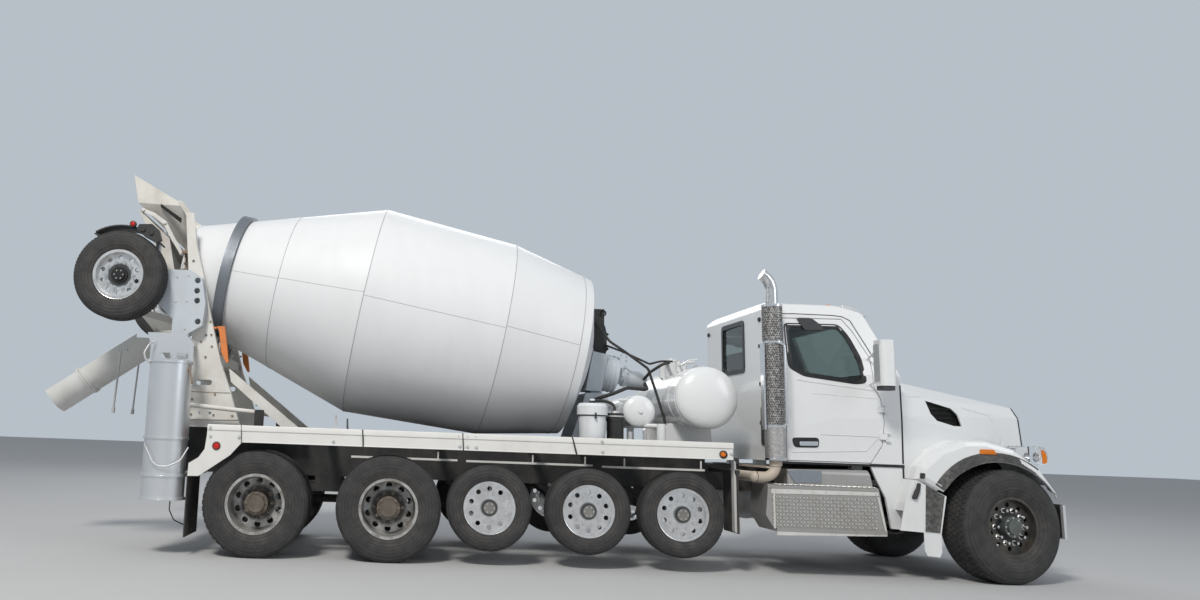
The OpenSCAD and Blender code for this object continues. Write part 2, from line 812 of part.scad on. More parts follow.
module headlamp(grow) {
    translate([0, 1010 + grow, 0]) rotate([90, 0, 0]) linear_extrude(250 + 2 * grow)
        offset(r = 45 + grow) offset(delta = -45) polygon([
            [7850, 1190], [7850, 1345], [7960, 1378], [8150, 1378], [8182, 1300], [8182, 1203], [8040, 1165]
        ]);
}

module headlamps() {
    // Lamps on the fenders, above the fenders' own shells
    color([0.85, 0.87, 0.9]) difference() {
        both_sides() headlamp(0);
        both_sides() fender_block(-0.3, fender_y + 0.3);
        hood_block(-0.3, cab_front, hood_front + 0.3);
    }
}

module grille() {
    // Bars in the hood's front opening, in a frame
    color([0.7, 0.7, 0.72]) {
        difference() {
            block([hood_front - 39, hood_front + 6], [-grille_y + 0.3, grille_y - 0.3], grille_z + [0.3, -0.3]);
            block([hood_front - 44, hood_front + 16], [-grille_y + 25, grille_y - 25], grille_z + [25, -25]);
        }
        for (i = [0 : 7])
            translate([0, 0, grille_z[0] + 60 + i * 80])
                block([hood_front - 29, hood_front - 4], [-grille_y + 20, grille_y - 20], [0, 30]);
        block([hood_front - 26, hood_front - 8], [-12, 12], grille_z + [10, -10]);
    }
}

module splash_panels() {
    color([0.93, 0.93, 0.93]) both_sides() {
        side_plate([
            [6300, cab_floor], [6652, cab_floor], [6652, 1001], [6690, 992], [6985, 842], [6914, 469],
            [6498, 492], [6451, 794], [6357, 991]
        ], 1010, 1040);
        // The fender's rear end below its split line, as a shell that is open to the wheel
        difference() {
            side_plate([[6640, 1000], [6690, 992], [6985, 842], [6914, 469], [6498, 492], [6560, 760]], 1035, 1195);
            side_plate([[6660, 980], [6700, 970], [7040, 800], [7000, 400], [6400, 400], [6580, 760]], 1041, 1183);
        }
        block([6600, 6680], [rail_y, 1015], [900, 960]);
        // Short flap that hangs under it
        side_plate([[6740, 520], [6740, 300], [6765, 250], [6890, 240], [6915, 290], [6915, 520]], 1185, 1192);
    }
}

// Side equipment

module step_box() {
    color([0.8, 0.8, 0.8]) {
        intersection() {
            side_plate([[5135, 600], [5165, 905], [6285, 905], [6350, 500], [6350, 445], [5230, 445]], -1260, -800);
            rotate([90, 0, 90]) linear_extrude(8000) offset(r = 40) offset(delta = -40)
                polygon([[-1215, 445], [-1215, 905], [-700, 905], [-700, 445]]);
        }
        // Lips of the lower step, and the rounded upper step
        block([5235, 6345], [-1235, -1180], [445, 480]);
        block([5180, 6280], [-1228, -1150], [868, 890]);
        intersection() {
            side_plate([[5395, 900], [5395, 1057], [6232, 1072], [6262, 938], [6262, 900]], -1200, -800);
            rotate([90, 0, 90]) linear_extrude(8000) offset(r = 60) offset(delta = -60)
                polygon([[-1140, 800], [-1140, 1075], [-700, 1075], [-700, 800]]);
        }
        for (x = [5400, 6000]) block([x, x + 80], [-810, -rail_y], [820, 880]);
    }
}

module fuel_tank() {
    color([0.8, 0.8, 0.82]) {
        translate([5200, 900, 700]) rotate([0, 90, 0]) cylinder(r = 300, h = 1100);
        for (x = [5350, 6050]) block([x, x + 80], [rail_y, 900], [810, 870]);
        block([5400, 6150], [1000, 1160], [940, 1060]);
    }
}

module exhaust() {
    color([0.8, 0.8, 0.8]) {
        translate([5285, -1125, 1140]) cylinder(r = 100, h = 1610);
        translate([5285, -1125, 1085]) cylinder(r = 62, h = 1825);
        translate([5085, -1125, 2900]) rotate([90, 0, 0])
            rotate_extrude(angle = 60) translate([200, 0]) circle(r = 60);
        // Elbow under the shield, and the pipe that runs in to the chassis
        translate([5155, -1125, 1100]) rotate([90, 0, 0])
            rotate_extrude(angle = -90) translate([130, 0]) circle(r = 52);
        translate([5070, -1125, 970]) rotate([0, 90, 0]) cylinder(r = 54, h = 90);
        translate([5070, -1125, 970]) sphere(r = 56);
        translate([5070, -1125, 970]) rotate([-90, 0, 0]) cylinder(r = 53, h = 645);
        block([5190, 5250], [-1125, -rail_y + 60], [rail_top, rail_top + 20]);
        block([5040, 5100], [-540, -rail_y], [945, 995]);
    }
}

module deck_rails() {
    color([0.9, 0.9, 0.9]) both_sides() {
        block([deck_rear, deck_front], [deck_y - 20, deck_y], [deck_top - deck_h, deck_top]);
        block([deck_rear, deck_front], [deck_y - 110, deck_y], [deck_top - 20, deck_top]);
        block([deck_rear, deck_front], [deck_y - 60, deck_y], [deck_top - deck_h, deck_top - deck_h + 15]);
        side_plate([
            [deck_rear - 5, deck_top], [deck_rear - 5, 1193], [-524, 1053], [-581, 968], [-675, 909], [-678, 782],
            [-569, 785], [-267, 1000], [-145, 1144], [-100, deck_top]
        ], deck_y - 19, deck_y - 1);
    }
}

module deck_canister() {
    // Round canister on the deck beside the pedestal, with its thick lid
    color([0.85, 0.87, 0.88]) translate([3440, -950, 0]) {
        translate([0, 0, sub_top]) cylinder(r1 = 130, r2 = 141, h = 290);
        translate([0, 0, sub_top + 270]) cylinder(r = 157, h = 90);
        translate([0, 0, sub_top + 360]) cylinder(r1 = 157, r2 = 135, h = 30);
    }
}

module mud_flaps() {
    color([0.06, 0.06, 0.06]) both_sides() {
        block([-690, -678], [640, 1220], [180, 790]);
        block([-700, -660], [rail_y, 1220], [780, 820]);
        block([4860, 4872], [800, 1200], [400, 1000]);
        block([4845, 4885], [rail_y, 1200], [990, 1030]);
    }
}

// Mixer body

module drum() {
    color([0.93, 0.93, 0.93]) at_drum() {
        rotate_extrude($fn = 128) polygon(concat(
            [for (p = drum_profile) [drum_at(p[1]), p[0]]],
            [for (i = [len(drum_profile) - 1 : -1 : 0])
                [drum_at(drum_profile[i][1]) - drum_wall, drum_profile[i][0] + (i < 3 ? drum_wall * 1.4 : 0)]]
        ));
        // Drive flange
        translate([0, 0, -2630]) cylinder(r = drum_at(190) + 5, h = 30);
        // Lip of the mouth
        translate([0, 0, 2078]) difference() {
            cylinder(r = drum_at(550) + 12, h = 16, $fn = 128);
            translate([0, 0, -1]) cylinder(r = drum_at(550) - 5, h = 18, $fn = 128);
        }
    }
}

module drum_track() {
    color([0.35, 0.36, 0.38]) at_drum() rotate_extrude($fn = 128)
        polygon([
            [track_inner(track_u - 55), track_u - 55], [track_r, track_u - 55],
            [track_r, track_u + 55], [track_inner(track_u + 55), track_u + 55]
        ]);
}

module at_roller(side) {
    at_drum() translate([-roller_drop, side * roller_dist * sin(roller_angle), track_u]) children();
}

module drum_roller(side) {
    color([0.4, 0.4, 0.42]) at_roller(side) {
        cylinder(r = roller_r, h = 96, center = true);
        cylinder(r = 25, h = 190, center = true);
    }
}

module rear_tower() {
    color([0.9, 0.9, 0.9]) difference() {
        union() {
            for (s = sides)
                translate([0, s > 0 ? 0 : -2 * tower_y + tower_t, 0])
                    side_plate([
                        [-850, sub_top], each tower_front,
                        [-1010, 3600], [-960, 3150], [-930, 2900], [-850, 2300], [-840, 1700]
                    ], tower_y - tower_t, tower_y);
            // Flanges along the plates' front edges
            intersection() {
                both_sides() side_plate(
                    concat(tower_front, [for (i = [len(tower_front) - 1 : -1 : 0]) tower_front[i] - [14, 0]]),
                    tower_y - 70, tower_y - tower_t + 1);
                block([-1000, 0], [-tower_y, tower_y], [sub_top, 3440]);
            }
            block([-850, -270], [-tower_y + 1, tower_y - 1], [sub_top, sub_top + 40]);
            // Beam under the rollers, with the ears that hold their shafts
            block([roller_x - 110, roller_x + 120], [-tower_y + 1, tower_y - 1], [roller_z - 220, roller_z - 120]);
            for (s = sides) at_roller(s)
                for (k = sides)
                    translate([-150, -45, k * 72 - 14]) cube([195, 90, 28]);
            // Bracket of the chute's swivel
            block([swivel_x, -800], [-110, 110], swivel_z);
            block([-850, -780], [-tower_y + 1, tower_y - 1], swivel_z + [-40, 70]);
            translate([swivel_x, 0, swivel_z[0]]) cylinder(r = 110, h = swivel_z[1] - swivel_z[0]);
            // Pins that carry the hopper
            both_sides() translate([hopper_pin[0], tower_y - 1, hopper_pin[1]]) rotate([90, 0, 0])
                cylinder(r = 15, h = 50);
            // Struts down to the sub-frame
            both_sides() {
                side_plate([[-430, 1900], [-400, 1760], [200, sub_top], [380, sub_top]],
                    620, tower_y - tower_t + 1);
                block([-400, 400], [340, tower_y - 1], [sub_top, sub_top + 20]);
            }
            // Hanger of the spare chute
            block([-840, -790], [-1088, -tower_y + 1], [2120, 2180]);
        }
        for (s = sides) at_roller(s) cylinder(r = 25 + run_gap, h = 260, center = true);
        translate([swivel_x, 0, swivel_z[0] - 20]) cylinder(r = 40 + run_gap, h = 120);
        // Slot and holes in the side plates
        both_sides() translate([0, tower_y + 1, 0]) rotate([90, 0, 0]) linear_extrude(tower_t + 2) {
            translate([-745, 1740]) offset(r = 24) square([120, 8]);
            for (p = [[-600, 1420], [-720, 1420], [-700, 2250], [-760, 2560], [-830, 2800], [-890, 3060]])
                translate(p) circle(r = 16);
        }
    }
}

module front_pedestal() {
    color([0.75, 0.77, 0.8]) {
        both_sides() side_plate([[3340, sub_top], [3508, 1800], [3740, 1800], [3790, 1600], [3700, sub_top]],
            300, 341);
        block([3508, 3740], [-330, 330], [1770, 1800]);
        block([3600, 3730], [-150, 150], [1799, gearbox_foot_z]);
    }
}

module gearbox() {
    color([0.7, 0.72, 0.75]) difference() {
        at_drum() {
            // Output shaft, and the housing, ribbed stage and motor below the drum's axis
            translate([0, 0, -2660]) cylinder(r = 160, h = 2660 - 2630.3);
            translate([-370, -200, -2820]) cube([455, 400, 175]);
            translate([-motor_drop, 0, -2990]) cylinder(r = 205, h = 175);
            for (i = [0 : 3]) translate([-motor_drop, 0, -2984 + i * 46]) cylinder(r = 215, h = 16);
            translate([-motor_drop, 0, -3330]) cylinder(r = 95, h = 350);
            translate([-motor_drop, 0, -3110]) cylinder(r = 112, h = 40);
        }
        block([3400, 4300], [-400, 400], [1500, gearbox_foot_z]);
    }
}

module water_tank() {
    color([0.93, 0.93, 0.93]) {
        translate([4683, 0, 1768]) {
            translate([0, 700, 0]) rotate([90, 0, 0]) cylinder(r = tank_r, h = 1540, $fn = 96);
            for (y = [-840, 700]) translate([0, y, 0]) scale([1, 0.38, 1]) sphere(r = tank_r, $fn = 96);
            // Filler and valve housing on top
            translate([-150, -120, 260]) cylinder(r = 70, h = 175);
            translate([-210, 0, 250]) cylinder(r = 45, h = 150);
        }
        both_sides() side_plate([
            [4350, sub_top], [4880, sub_top], [4880, 1420], [4840, 1495], [4400, 1495], [4350, 1420]
        ], 340, 420);
    }
}

module air_tank() {
    color([0.9, 0.9, 0.9]) {
        translate([3985, 0, 1600]) {
            rotate([90, 0, 0]) cylinder(r = 172, h = 1500, center = true);
            for (s = sides) translate([0, s * 750, 0]) scale([1, 0.36, 1]) sphere(r = 172);
        }
        // Drain elbow at the right end
        rod_between([3990, -700, 1450], [4184, -880, 1450], 24);
        translate([4184, -880, sub_top]) cylinder(r = 46, h = 205);
        both_sides() block([3950, 4020], [380, 420], [sub_top, 1500]);
    }
}

module oil_cooler() {
    color([0.08, 0.08, 0.08]) {
        block([3700, 3860], [300, 800], [2080, 2850]);
        block([3750, 3800], [345, 425], [sub_top, 2081]);
        // Filter on the deck, on the other side
        translate([3705, -850, sub_top]) cylinder(r = 88, h = 300);
        translate([3705, -850, sub_top + 215]) cylinder(r = 96, h = 60);
    }
}

module collector() {
    // Funnel under the drum's mouth, held between the tower's plates
    color([0.9, 0.9, 0.9]) difference() {
        union() {
            hull() {
                side_plate([for (p = funnel) p + [0, outlet_z]], -430, 430);
                translate([outlet_x, 0, outlet_z]) cylinder(r = 150, h = 5, $fn = 32);
            }
            both_sides() block([-1010, -800], [418, tower_y - tower_t], [outlet_z + 29, outlet_z + 59]);
        }
        hull() {
            side_plate([for (p = funnel_inside) p + [0, outlet_z]], -418, 418);
            translate([outlet_x, 0, outlet_z - 10]) cylinder(r = 138, h = 5, $fn = 32);
        }
    }
}

module hopper() {
    color([0.9, 0.9, 0.88]) difference() {
        union() {
            difference() {
                hull() {
                    side_plate([[-1670, 4060], [-1600, 3740], [-1060, 3720]], -540, 540);
                    side_plate([[-1120, 3330], [-1040, 3220], [-1000, 3440]], -230, 230);
                }
                hull() {
                    side_plate([[-1700, 4090], [-1592, 3765], [-1030, 3745]], -528, 528);
                    side_plate([[-1110, 3345], [-1030, 3200], [-980, 3460]], -218, 218);
                }
            }
            both_sides() {
                translate([-1095, 712, 3722]) rotate([90, 0, 0]) cylinder(r = 18, h = 182);
                side_plate([[-1115, 3740], [-1075, 3740], [-940, 3585], [-940, 3535], [-990, 3535]], 692, 712);
            }
        }
        for (s = sides) translate([hopper_pin[0], s * 700 + 25, hopper_pin[1]]) rotate([90, 0, 0])
            cylinder(r = 15 + run_gap, h = 50);
    }
}

// Chutes

module at_chute() {
    // Local +X runs down the chute, and local +Z away from its bottom
    translate([chute_px, 0, chute_pz]) rotate([0, 180 - chute_slope, 0]) mirror([0, 0, 1]) children();
}

module trough(x0, x1) {
    // A round-bottomed open trough between two stations along the chute
    translate([x0, 0, chute_bottom]) rotate([90, 0, 90]) linear_extrude(x1 - x0) difference() {
        union() {
            translate([0, chute_y]) circle(r = chute_y);
            translate([-chute_y, chute_y]) square([2 * chute_y, chute_depth - chute_y]);
        }
        translate([0, chute_y]) circle(r = chute_r);
        translate([-chute_r, chute_y]) square([2 * chute_r, 400]);
        translate([-300, chute_depth]) square([600, 400]);
    }
}

module flange_ring(x0, x1) {
    translate([x0, 0, chute_bottom]) rotate([90, 0, 90]) linear_extrude(x1 - x0) difference() {
        union() {
            translate([0, chute_y]) circle(r = chute_y + 14);
            translate([-chute_y - 14, chute_y])
                square([2 * (chute_y + 14), chute_depth - chute_y]);
        }
        translate([0, chute_y]) circle(r = chute_y - 1);
        translate([-chute_y + 1, chute_y]) square([2 * (chute_y - 1), 400]);
        translate([-300, chute_depth]) square([600, 400]);
    }
}

module main_chute() {
    color([0.88, 0.88, 0.88]) difference() {
        at_chute() {
            trough(-200, chute_len);
            flange_ring(chute_len - 20, chute_len);
            // Lugs of the lift pivot
            for (s = sides) translate([0, s * 60 - 10, 0]) {
                rotate([-90, 0, 0]) cylinder(r = 34, h = 20);
                translate([-34, 0, 0]) cube([68, 20, chute_bottom + 30]);
            }
            // Hinge of the folding chute: lugs on the flange, and their pins
            for (s = sides) on_side(s) {
                translate([fold_pin[0], chute_y + 1, fold_pin[1]]) rotate([90, 0, 0]) cylinder(r = 13, h = 11);
                block([chute_len - 20, fold_pin[0]], [chute_y - 10, chute_y + 1], [chute_edge - 10, fold_pin[1]]);
                translate([fold_pin[0], chute_y + 18, fold_pin[1]]) rotate([90, 0, 0])
                    cylinder(r = fold_pin_r, h = 25);
            }
        }
        translate([chute_px, 120, chute_pz]) rotate([90, 0, 0]) cylinder(r = 18 + run_gap, h = 240);
        translate([swivel_x, 0, chute_pz + 200]) cylinder(r = 450, h = 600);
    }
}

module fold_chute() {
    color([0.88, 0.88, 0.88]) at_chute() {
        trough(chute_len + 6, chute_len + fold_len);
        flange_ring(chute_len + 6, chute_len + 26);
        // Ears on the main chute's pins
        for (s = sides) on_side(s) difference() {
            union() {
                translate([fold_pin[0], chute_y + 14, fold_pin[1]]) rotate([90, 0, 0]) cylinder(r = 13, h = 12);
                block([fold_pin[0], chute_len + 26], [chute_y + 2, chute_y + 14], [chute_edge - 10, fold_pin[1]]);
            }
            translate([fold_pin[0], chute_y + 15, fold_pin[1]]) rotate([90, 0, 0])
                cylinder(r = fold_pin_r + run_gap, h = 14);
        }
    }
}

module chute_swivel() {
    // Post in the tower's bracket, with the pin that carries the chute
    color([0.85, 0.85, 0.85]) {
        translate([swivel_x, 0, swivel_z[0] - 120]) cylinder(r = 40, h = 250);
        translate([swivel_x, 0, swivel_z[1] + 0.3]) cylinder(r = 90, h = 40);
        block([chute_px - 40, chute_px + 90], [-45, 45], [swivel_z[1] + 30, chute_pz - 40]);
        block([chute_px - 30, chute_px + 30], [-45, 45], [chute_pz - 50, chute_pz + 10]);
        translate([chute_px, 75, chute_pz]) rotate([90, 0, 0]) cylinder(r = 18, h = 150);
    }
}

module spare_chute() {
    // A loose chute section hung by its end plate at the right side, open towards the truck
    color([0.9, 0.9, 0.9]) {
        translate([-940, -1150, 545]) linear_extrude(1380) difference() {
            circle(r = chute_r);
            circle(r = chute_r - 10);
            translate([-300, 62]) square([600, 300]);
        }
        for (z = [545, 775, 1140, 1905]) translate([-940, -1150, z]) linear_extrude(20) difference() {
            circle(r = chute_r + 14);
            circle(r = chute_r - 4);
            translate([-300, 62]) square([600, 300]);
        }
        difference() {
            side_plate([
                [-1185, 1880], [-1185, 2090], [-1225, 2225], [-830, 2225], [-760, 2120], [-745, 1950], [-745, 1880]
            ], -1100, -1088);
            for (x = [-1020, -850]) translate([x, -1080, 1988]) rotate([90, 0, 0]) linear_extrude(30)
                offset(r = 28) square([66, 4], center = true);
        }
    }
}

// Booster axle

module booster_arm() {
    color([0.85, 0.86, 0.87]) {
        difference() {
            both_sides() side_plate([
                [booster_px - 90, booster_pz - 80], [booster_px + 80, booster_pz - 80],
                [booster_px + 85, booster_z - 560], [booster_px + 230, booster_z - 470],
                [booster_px + 250, booster_z - 230], [booster_px + 195, booster_z + 45],
                [booster_px + 70, booster_z + 125],
                [booster_x + 320, booster_z + 125], [booster_x - 60, booster_z + 60], [booster_x - 60, booster_z - 60],
                [booster_x + 310, booster_z - 220], [booster_px - 90, booster_z - 410]
            ], booster_arm_in, booster_arm_in + booster_arm_w);
            translate([booster_px, 900, booster_pz]) rotate([90, 0, 0])
                cylinder(r = booster_pin_r + run_gap, h = 1800);
            // Holes in the plates at the tower
            for (p = [[150, 16], [150, -96], [158, -203], [180, -428]])
                translate([booster_px + p[0], 900, booster_z + p[1]]) rotate([90, 0, 0])
                    cylinder(r = 32, h = 1800);
        }
        axle_tube(booster_x, booster_z, booster_y - 106, 60, booster_y + 75);
        // Quarter fenders on posts
        both_sides() {
            translate([booster_x, 1150, booster_z]) rotate([90, 0, 0]) rotate([0, 0, 45])
                rotate_extrude(angle = 80, $fn = 96) translate([booster_r + 60, 0]) square([8, 300]);
            block([booster_x + 285, booster_x + 320], [booster_arm_in + 20, booster_arm_in + booster_arm_w - 1],
                [booster_z + 90, booster_z + 428]);
        }
    }
}

module along_ram(d0, d1, r) {
    // A round piece of both cylinders, between two distances from their feet
    rise = atan2(booster_eye[1] - booster_foot[1], booster_foot[0] - booster_eye[0]);
    for (s = sides)
        translate([booster_foot[0], s * booster_ram_y, booster_foot[1]]) rotate([0, rise - 90, 0])
            translate([0, 0, d0]) cylinder(r = r, h = d1 - d0);
}

module booster_cylinders() {
    color([0.15, 0.15, 0.15]) difference() {
        union() {
            along_ram(20, ram_length - 62, 24);
            both_sides() translate([booster_foot[0], booster_ram_y + 25, booster_foot[1]]) rotate([90, 0, 0])
                cylinder(r = 28, h = 50);
        }
        along_ram(120, ram_length, 14 + run_gap);
        both_sides() translate([booster_foot[0], booster_ram_y + 26, booster_foot[1]]) rotate([90, 0, 0])
            cylinder(r = 12 + run_gap, h = 52);
    }
}

module booster_rods() {
    color([0.7, 0.7, 0.7]) {
        along_ram(140, ram_length - 10, 14);
        both_sides() translate([booster_eye[0], booster_ram_y + 20, booster_eye[1]]) rotate([90, 0, 0])
            cylinder(r = 24, h = 40);
    }
}

placed() difference() {
    chassis_frame();
    rear_hitch_holes();
}
placed() mixer_subframe();
placed() front_axle();
placed() drive_axles();
placed() pusher_axles();
nose() engine();
nose() bumper();
nose() cab_shell();
nose() cab_glass();
nose() cab_interior();
nose() step_box();
nose() fuel_tank();
nose() exhaust();
nose() splash_panels();
placed() deck_rails();
placed() deck_canister();
placed() mud_flaps();
placed() rear_tower();
placed() front_pedestal();
placed() gearbox();
placed() water_tank();
placed() air_tank();
placed() oil_cooler();
placed() collector();
placed() spare_chute();
placed() knuckle(1);  // knuckle_left
placed() knuckle(-1);  // knuckle_right
placed() front_wheel(1);  // wheel_front_left
placed() front_wheel(-1);  // wheel_front_right
placed() drive_wheel(1, 0);  // wheel_drive_1_left
placed() drive_wheel(-1, 0);  // wheel_drive_1_right
placed() drive_wheel(1, drive_spacing);  // wheel_drive_2_left
placed() drive_wheel(-1, drive_spacing);  // wheel_drive_2_right
placed() pusher_wheel(1, pusher_1_x);  // wheel_pusher_1_left
placed() pusher_wheel(-1, pusher_1_x);  // wheel_pusher_1_right
placed() pusher_wheel(1, pusher_2_x);  // wheel_pusher_2_left
placed() pusher_wheel(-1, pusher_2_x);  // wheel_pusher_2_right
placed() pusher_wheel(1, pusher_3_x);  // wheel_pusher_3_left
placed() pusher_wheel(-1, pusher_3_x);  // wheel_pusher_3_right
placed() booster_wheel(1);  // wheel_booster_left
placed() booster_wheel(-1);  // wheel_booster_right
placed() drum();
placed() drum_track();
placed() drum_roller(1);  // drum_roller_left
placed() drum_roller(-1);  // drum_roller_right
placed() hopper();
nose() hood();
nose() grille();
nose() headlamps();
nose() door(1);  // door_left
nose() door(-1);  // door_right
nose() door_glass(1);  // door_glass_left
nose() door_glass(-1);  // door_glass_right
placed() chute_swivel();
placed() main_chute();
placed() fold_chute();
placed() booster_arm();
placed() booster_cylinders();
placed() booster_rods();
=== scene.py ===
# %% [markdown]
# Concrete mixer truck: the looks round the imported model
#
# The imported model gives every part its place, its size and its joint. This lesson dresses it: paint, rubber,
# steel and glass on the carried-over parts, and the small things that catch the eye, such as nuts, tread,
# seams and seals. The frame is loaded first, because every later piece is measured from it.

import math

import bmesh
import bpy
from mathutils import Matrix, Vector
from mathutils.bvhtree import BVHTree


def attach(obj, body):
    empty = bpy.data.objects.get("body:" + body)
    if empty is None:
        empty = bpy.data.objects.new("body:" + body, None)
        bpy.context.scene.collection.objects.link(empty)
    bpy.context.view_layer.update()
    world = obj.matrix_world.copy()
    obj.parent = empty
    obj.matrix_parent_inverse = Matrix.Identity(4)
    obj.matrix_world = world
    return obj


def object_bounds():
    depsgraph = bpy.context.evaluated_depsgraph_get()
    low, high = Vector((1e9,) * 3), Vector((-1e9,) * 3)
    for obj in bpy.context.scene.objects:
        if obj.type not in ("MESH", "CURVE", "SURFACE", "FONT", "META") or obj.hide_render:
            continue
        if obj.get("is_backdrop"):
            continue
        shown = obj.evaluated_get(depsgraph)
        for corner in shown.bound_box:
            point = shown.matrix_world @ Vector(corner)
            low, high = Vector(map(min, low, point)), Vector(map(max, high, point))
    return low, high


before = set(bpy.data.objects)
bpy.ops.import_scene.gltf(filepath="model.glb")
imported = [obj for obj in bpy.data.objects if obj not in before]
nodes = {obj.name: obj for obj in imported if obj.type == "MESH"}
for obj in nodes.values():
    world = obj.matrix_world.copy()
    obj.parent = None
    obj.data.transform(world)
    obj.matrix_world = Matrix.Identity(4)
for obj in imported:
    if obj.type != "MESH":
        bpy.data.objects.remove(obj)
cad_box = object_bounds()

# %% [markdown]
# Places on this truck are easiest to say the way a workshop does: millimetres forward of the rear drive axle,
# to the left of the middle plane, and above the ground. One helper turns such a place into scene metres.

# %% Workshop millimetres to scene metres
REAR_AXLE = -2.8766146
BOTH = ((-1, "right"), (1, "left"))


def place(x, y, z):
    return Vector((x / 1000 + REAR_AXLE, y / 1000, z / 1000))


def mm(value):
    return value / 1000


# %% [markdown]
# The picture was taken from the right side, standing a little behind the rear pushers, with a wide lens. The
# camera was found from the wheels' ground contacts and the heights of parts whose size is known. It leans
# about two degrees and looks up by eight, and its frame is shifted, as a cropped picture is.

# %% Camera
camera_data = bpy.data.cameras.new("camera")
camera = bpy.data.objects.new("camera", camera_data)
bpy.context.scene.collection.objects.link(camera)
bpy.context.scene.camera = camera
camera_data.sensor_width = 36
camera_data.lens = 26.76
camera_data.shift_x = 0.164
camera_data.clip_end = 400
yaw, pitch, roll = (math.radians(a) for a in (0.46, 8.55, -2.07))
ahead = Vector((math.sin(yaw) * math.cos(pitch), math.cos(yaw) * math.cos(pitch), math.sin(pitch)))
level = Vector((math.cos(yaw), -math.sin(yaw), 0))
above = level.cross(ahead)
camera_x = level * math.cos(roll) - above * math.sin(roll)
camera_y = above * math.cos(roll) + level * math.sin(roll)
turn = Matrix((camera_x, camera_y, -ahead)).transposed()
camera.matrix_world = Matrix.Translation(place(1340, -10350, 1270)) @ turn.to_4x4()
print("camera at", tuple(round(v, 2) for v in camera.matrix_world.translation))

# %% [markdown]
# Every finish, floor and world is a small tree of nodes. These short functions write the nodes that come back
# all the time: a sum, a range, a mix of two colours, a noise, and the shader at the end.

# %% Helpers for node trees


def tree_of(owner):
    owner.use_nodes = True
    owner.node_tree.nodes.clear()
    return owner.node_tree


def add(tree, kind, values=None, **settings):
    made = tree.nodes.new(kind)
    for name, value in settings.items():
        setattr(made, name, value)
    for name, value in (values or {}).items():
        if isinstance(value, bpy.types.NodeSocket):
            tree.links.new(value, made.inputs[name])
        else:
            made.inputs[name].default_value = value
    return made


def calc(tree, operation, *values, **settings):
    return add(tree, "ShaderNodeMath", dict(enumerate(values)), operation=operation, **settings).outputs[0]


def between(tree, value, low, high, start=0.0, end=1.0):
    return add(tree, "ShaderNodeMapRange", {
        "Value": value, "From Min": low, "From Max": high, "To Min": start, "To Max": end}).outputs[0]


def blend(tree, factor, *colours):
    first, second = (c if isinstance(c, bpy.types.NodeSocket) else (*c, 1) for c in colours)
    return add(tree, "ShaderNodeMix", {"Factor": factor, 6: first, 7: second}, data_type="RGBA").outputs[2]


def noise(tree, spot, scale, detail, rough=0.5):
    return add(tree, "ShaderNodeTexNoise", {
        "Vector": spot, "Scale": scale, "Detail": detail, "Roughness": rough}).outputs["Fac"]


def new_finish(name):
    material = bpy.data.materials.new(name)
    tree = tree_of(material)
    return material, tree, add(tree, "ShaderNodeTexCoord").outputs["Object"]


def shade_with(material, tree, values, bump=None):
    if bump:
        height, strength, distance = bump
        values["Normal"] = add(tree, "ShaderNodeBump", {
            "Height": height, "Strength": strength, "Distance": distance}).outputs[0]
    shader = add(tree, "ShaderNodeBsdfPrincipled", values)
    add(tree, "ShaderNodeOutputMaterial", {"Surface": shader.outputs[0]})
    return material


def show(name, mesh):
    made = bpy.data.objects.new(name, mesh)
    bpy.context.scene.collection.objects.link(made)
    return made


print("node helpers ready")

# %% [markdown]
# A truck this white needs soft light and a floor that isn't pure white, or its edges vanish. One broad lamp
# stands in for a high sun from the rear right, two more fill the front and the far side, and the world gives
# the rest. The background is pale for the camera and for reflections.

# %% Floor and light
floor_mesh = bpy.data.meshes.new("floor")
REACH, FLOOR_Z = 60, -0.006
floor_mesh.from_pydata(
    [(x * REACH, y * REACH, FLOOR_Z) for x, y in ((-1, -1), (1, -1), (1, 1), (-1, 1))], [], [(0, 1, 2, 3)])
floor = show("floor", floor_mesh)
floor_paint, tree, spot = new_finish("pale_floor")
floor_tone = between(tree, noise(tree, spot, 0.6, 2.0), 0, 1, 0.50, 0.54)
floor_mesh.materials.append(shade_with(floor_paint, tree, {"Base Color": floor_tone, "Roughness": 0.9}))
floor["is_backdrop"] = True

world = bpy.data.worlds.new("studio")
bpy.context.scene.world = world
tree = tree_of(world)
path = add(tree, "ShaderNodeLightPath").outputs
seen = calc(tree, "MAXIMUM", path["Is Camera Ray"], path["Is Glossy Ray"])
seen = calc(tree, "MAXIMUM", seen, path["Is Transmission Ray"])
fill = add(tree, "ShaderNodeBackground", {"Color": (0.84, 0.91, 1.0, 1), "Strength": 0.40})
paper = add(tree, "ShaderNodeBackground", {"Color": (0.66, 0.73, 0.80, 1), "Strength": 0.72})
both = add(tree, "ShaderNodeMixShader", {"Fac": seen, 1: fill.outputs[0], 2: paper.outputs[0]})
add(tree, "ShaderNodeOutputWorld", {"Surface": both.outputs[0]})

LAMPS = {
    # name: place, aim, size of the disk, power, colour
    "high_sun": ((-6, -14, 16), (0, 0, 1.5), 4, 2900, (1, 0.97, 0.92)),
    "front_fill": ((13, -10, 7), (3, 0, 1.5), 8, 350, (0.95, 0.97, 1)),
    "far_fill": ((0, 14, 10), (0, 0, 2), 10, 500, (1, 1, 1)),
}
for name, (at, to, size, power, colour) in LAMPS.items():
    data = bpy.data.lights.new(name, "AREA")
    data.shape = "DISK"
    data.size = size
    data.energy = power
    data.color = colour
    lamp = show(name, data)
    lamp.location = at
    lamp.rotation_euler = (Vector(to) - Vector(at)).to_track_quat("-Z", "Y").to_euler()
bpy.context.scene.view_settings.view_transform = "Standard"
print("floor, world and", len(LAMPS), "lamps")

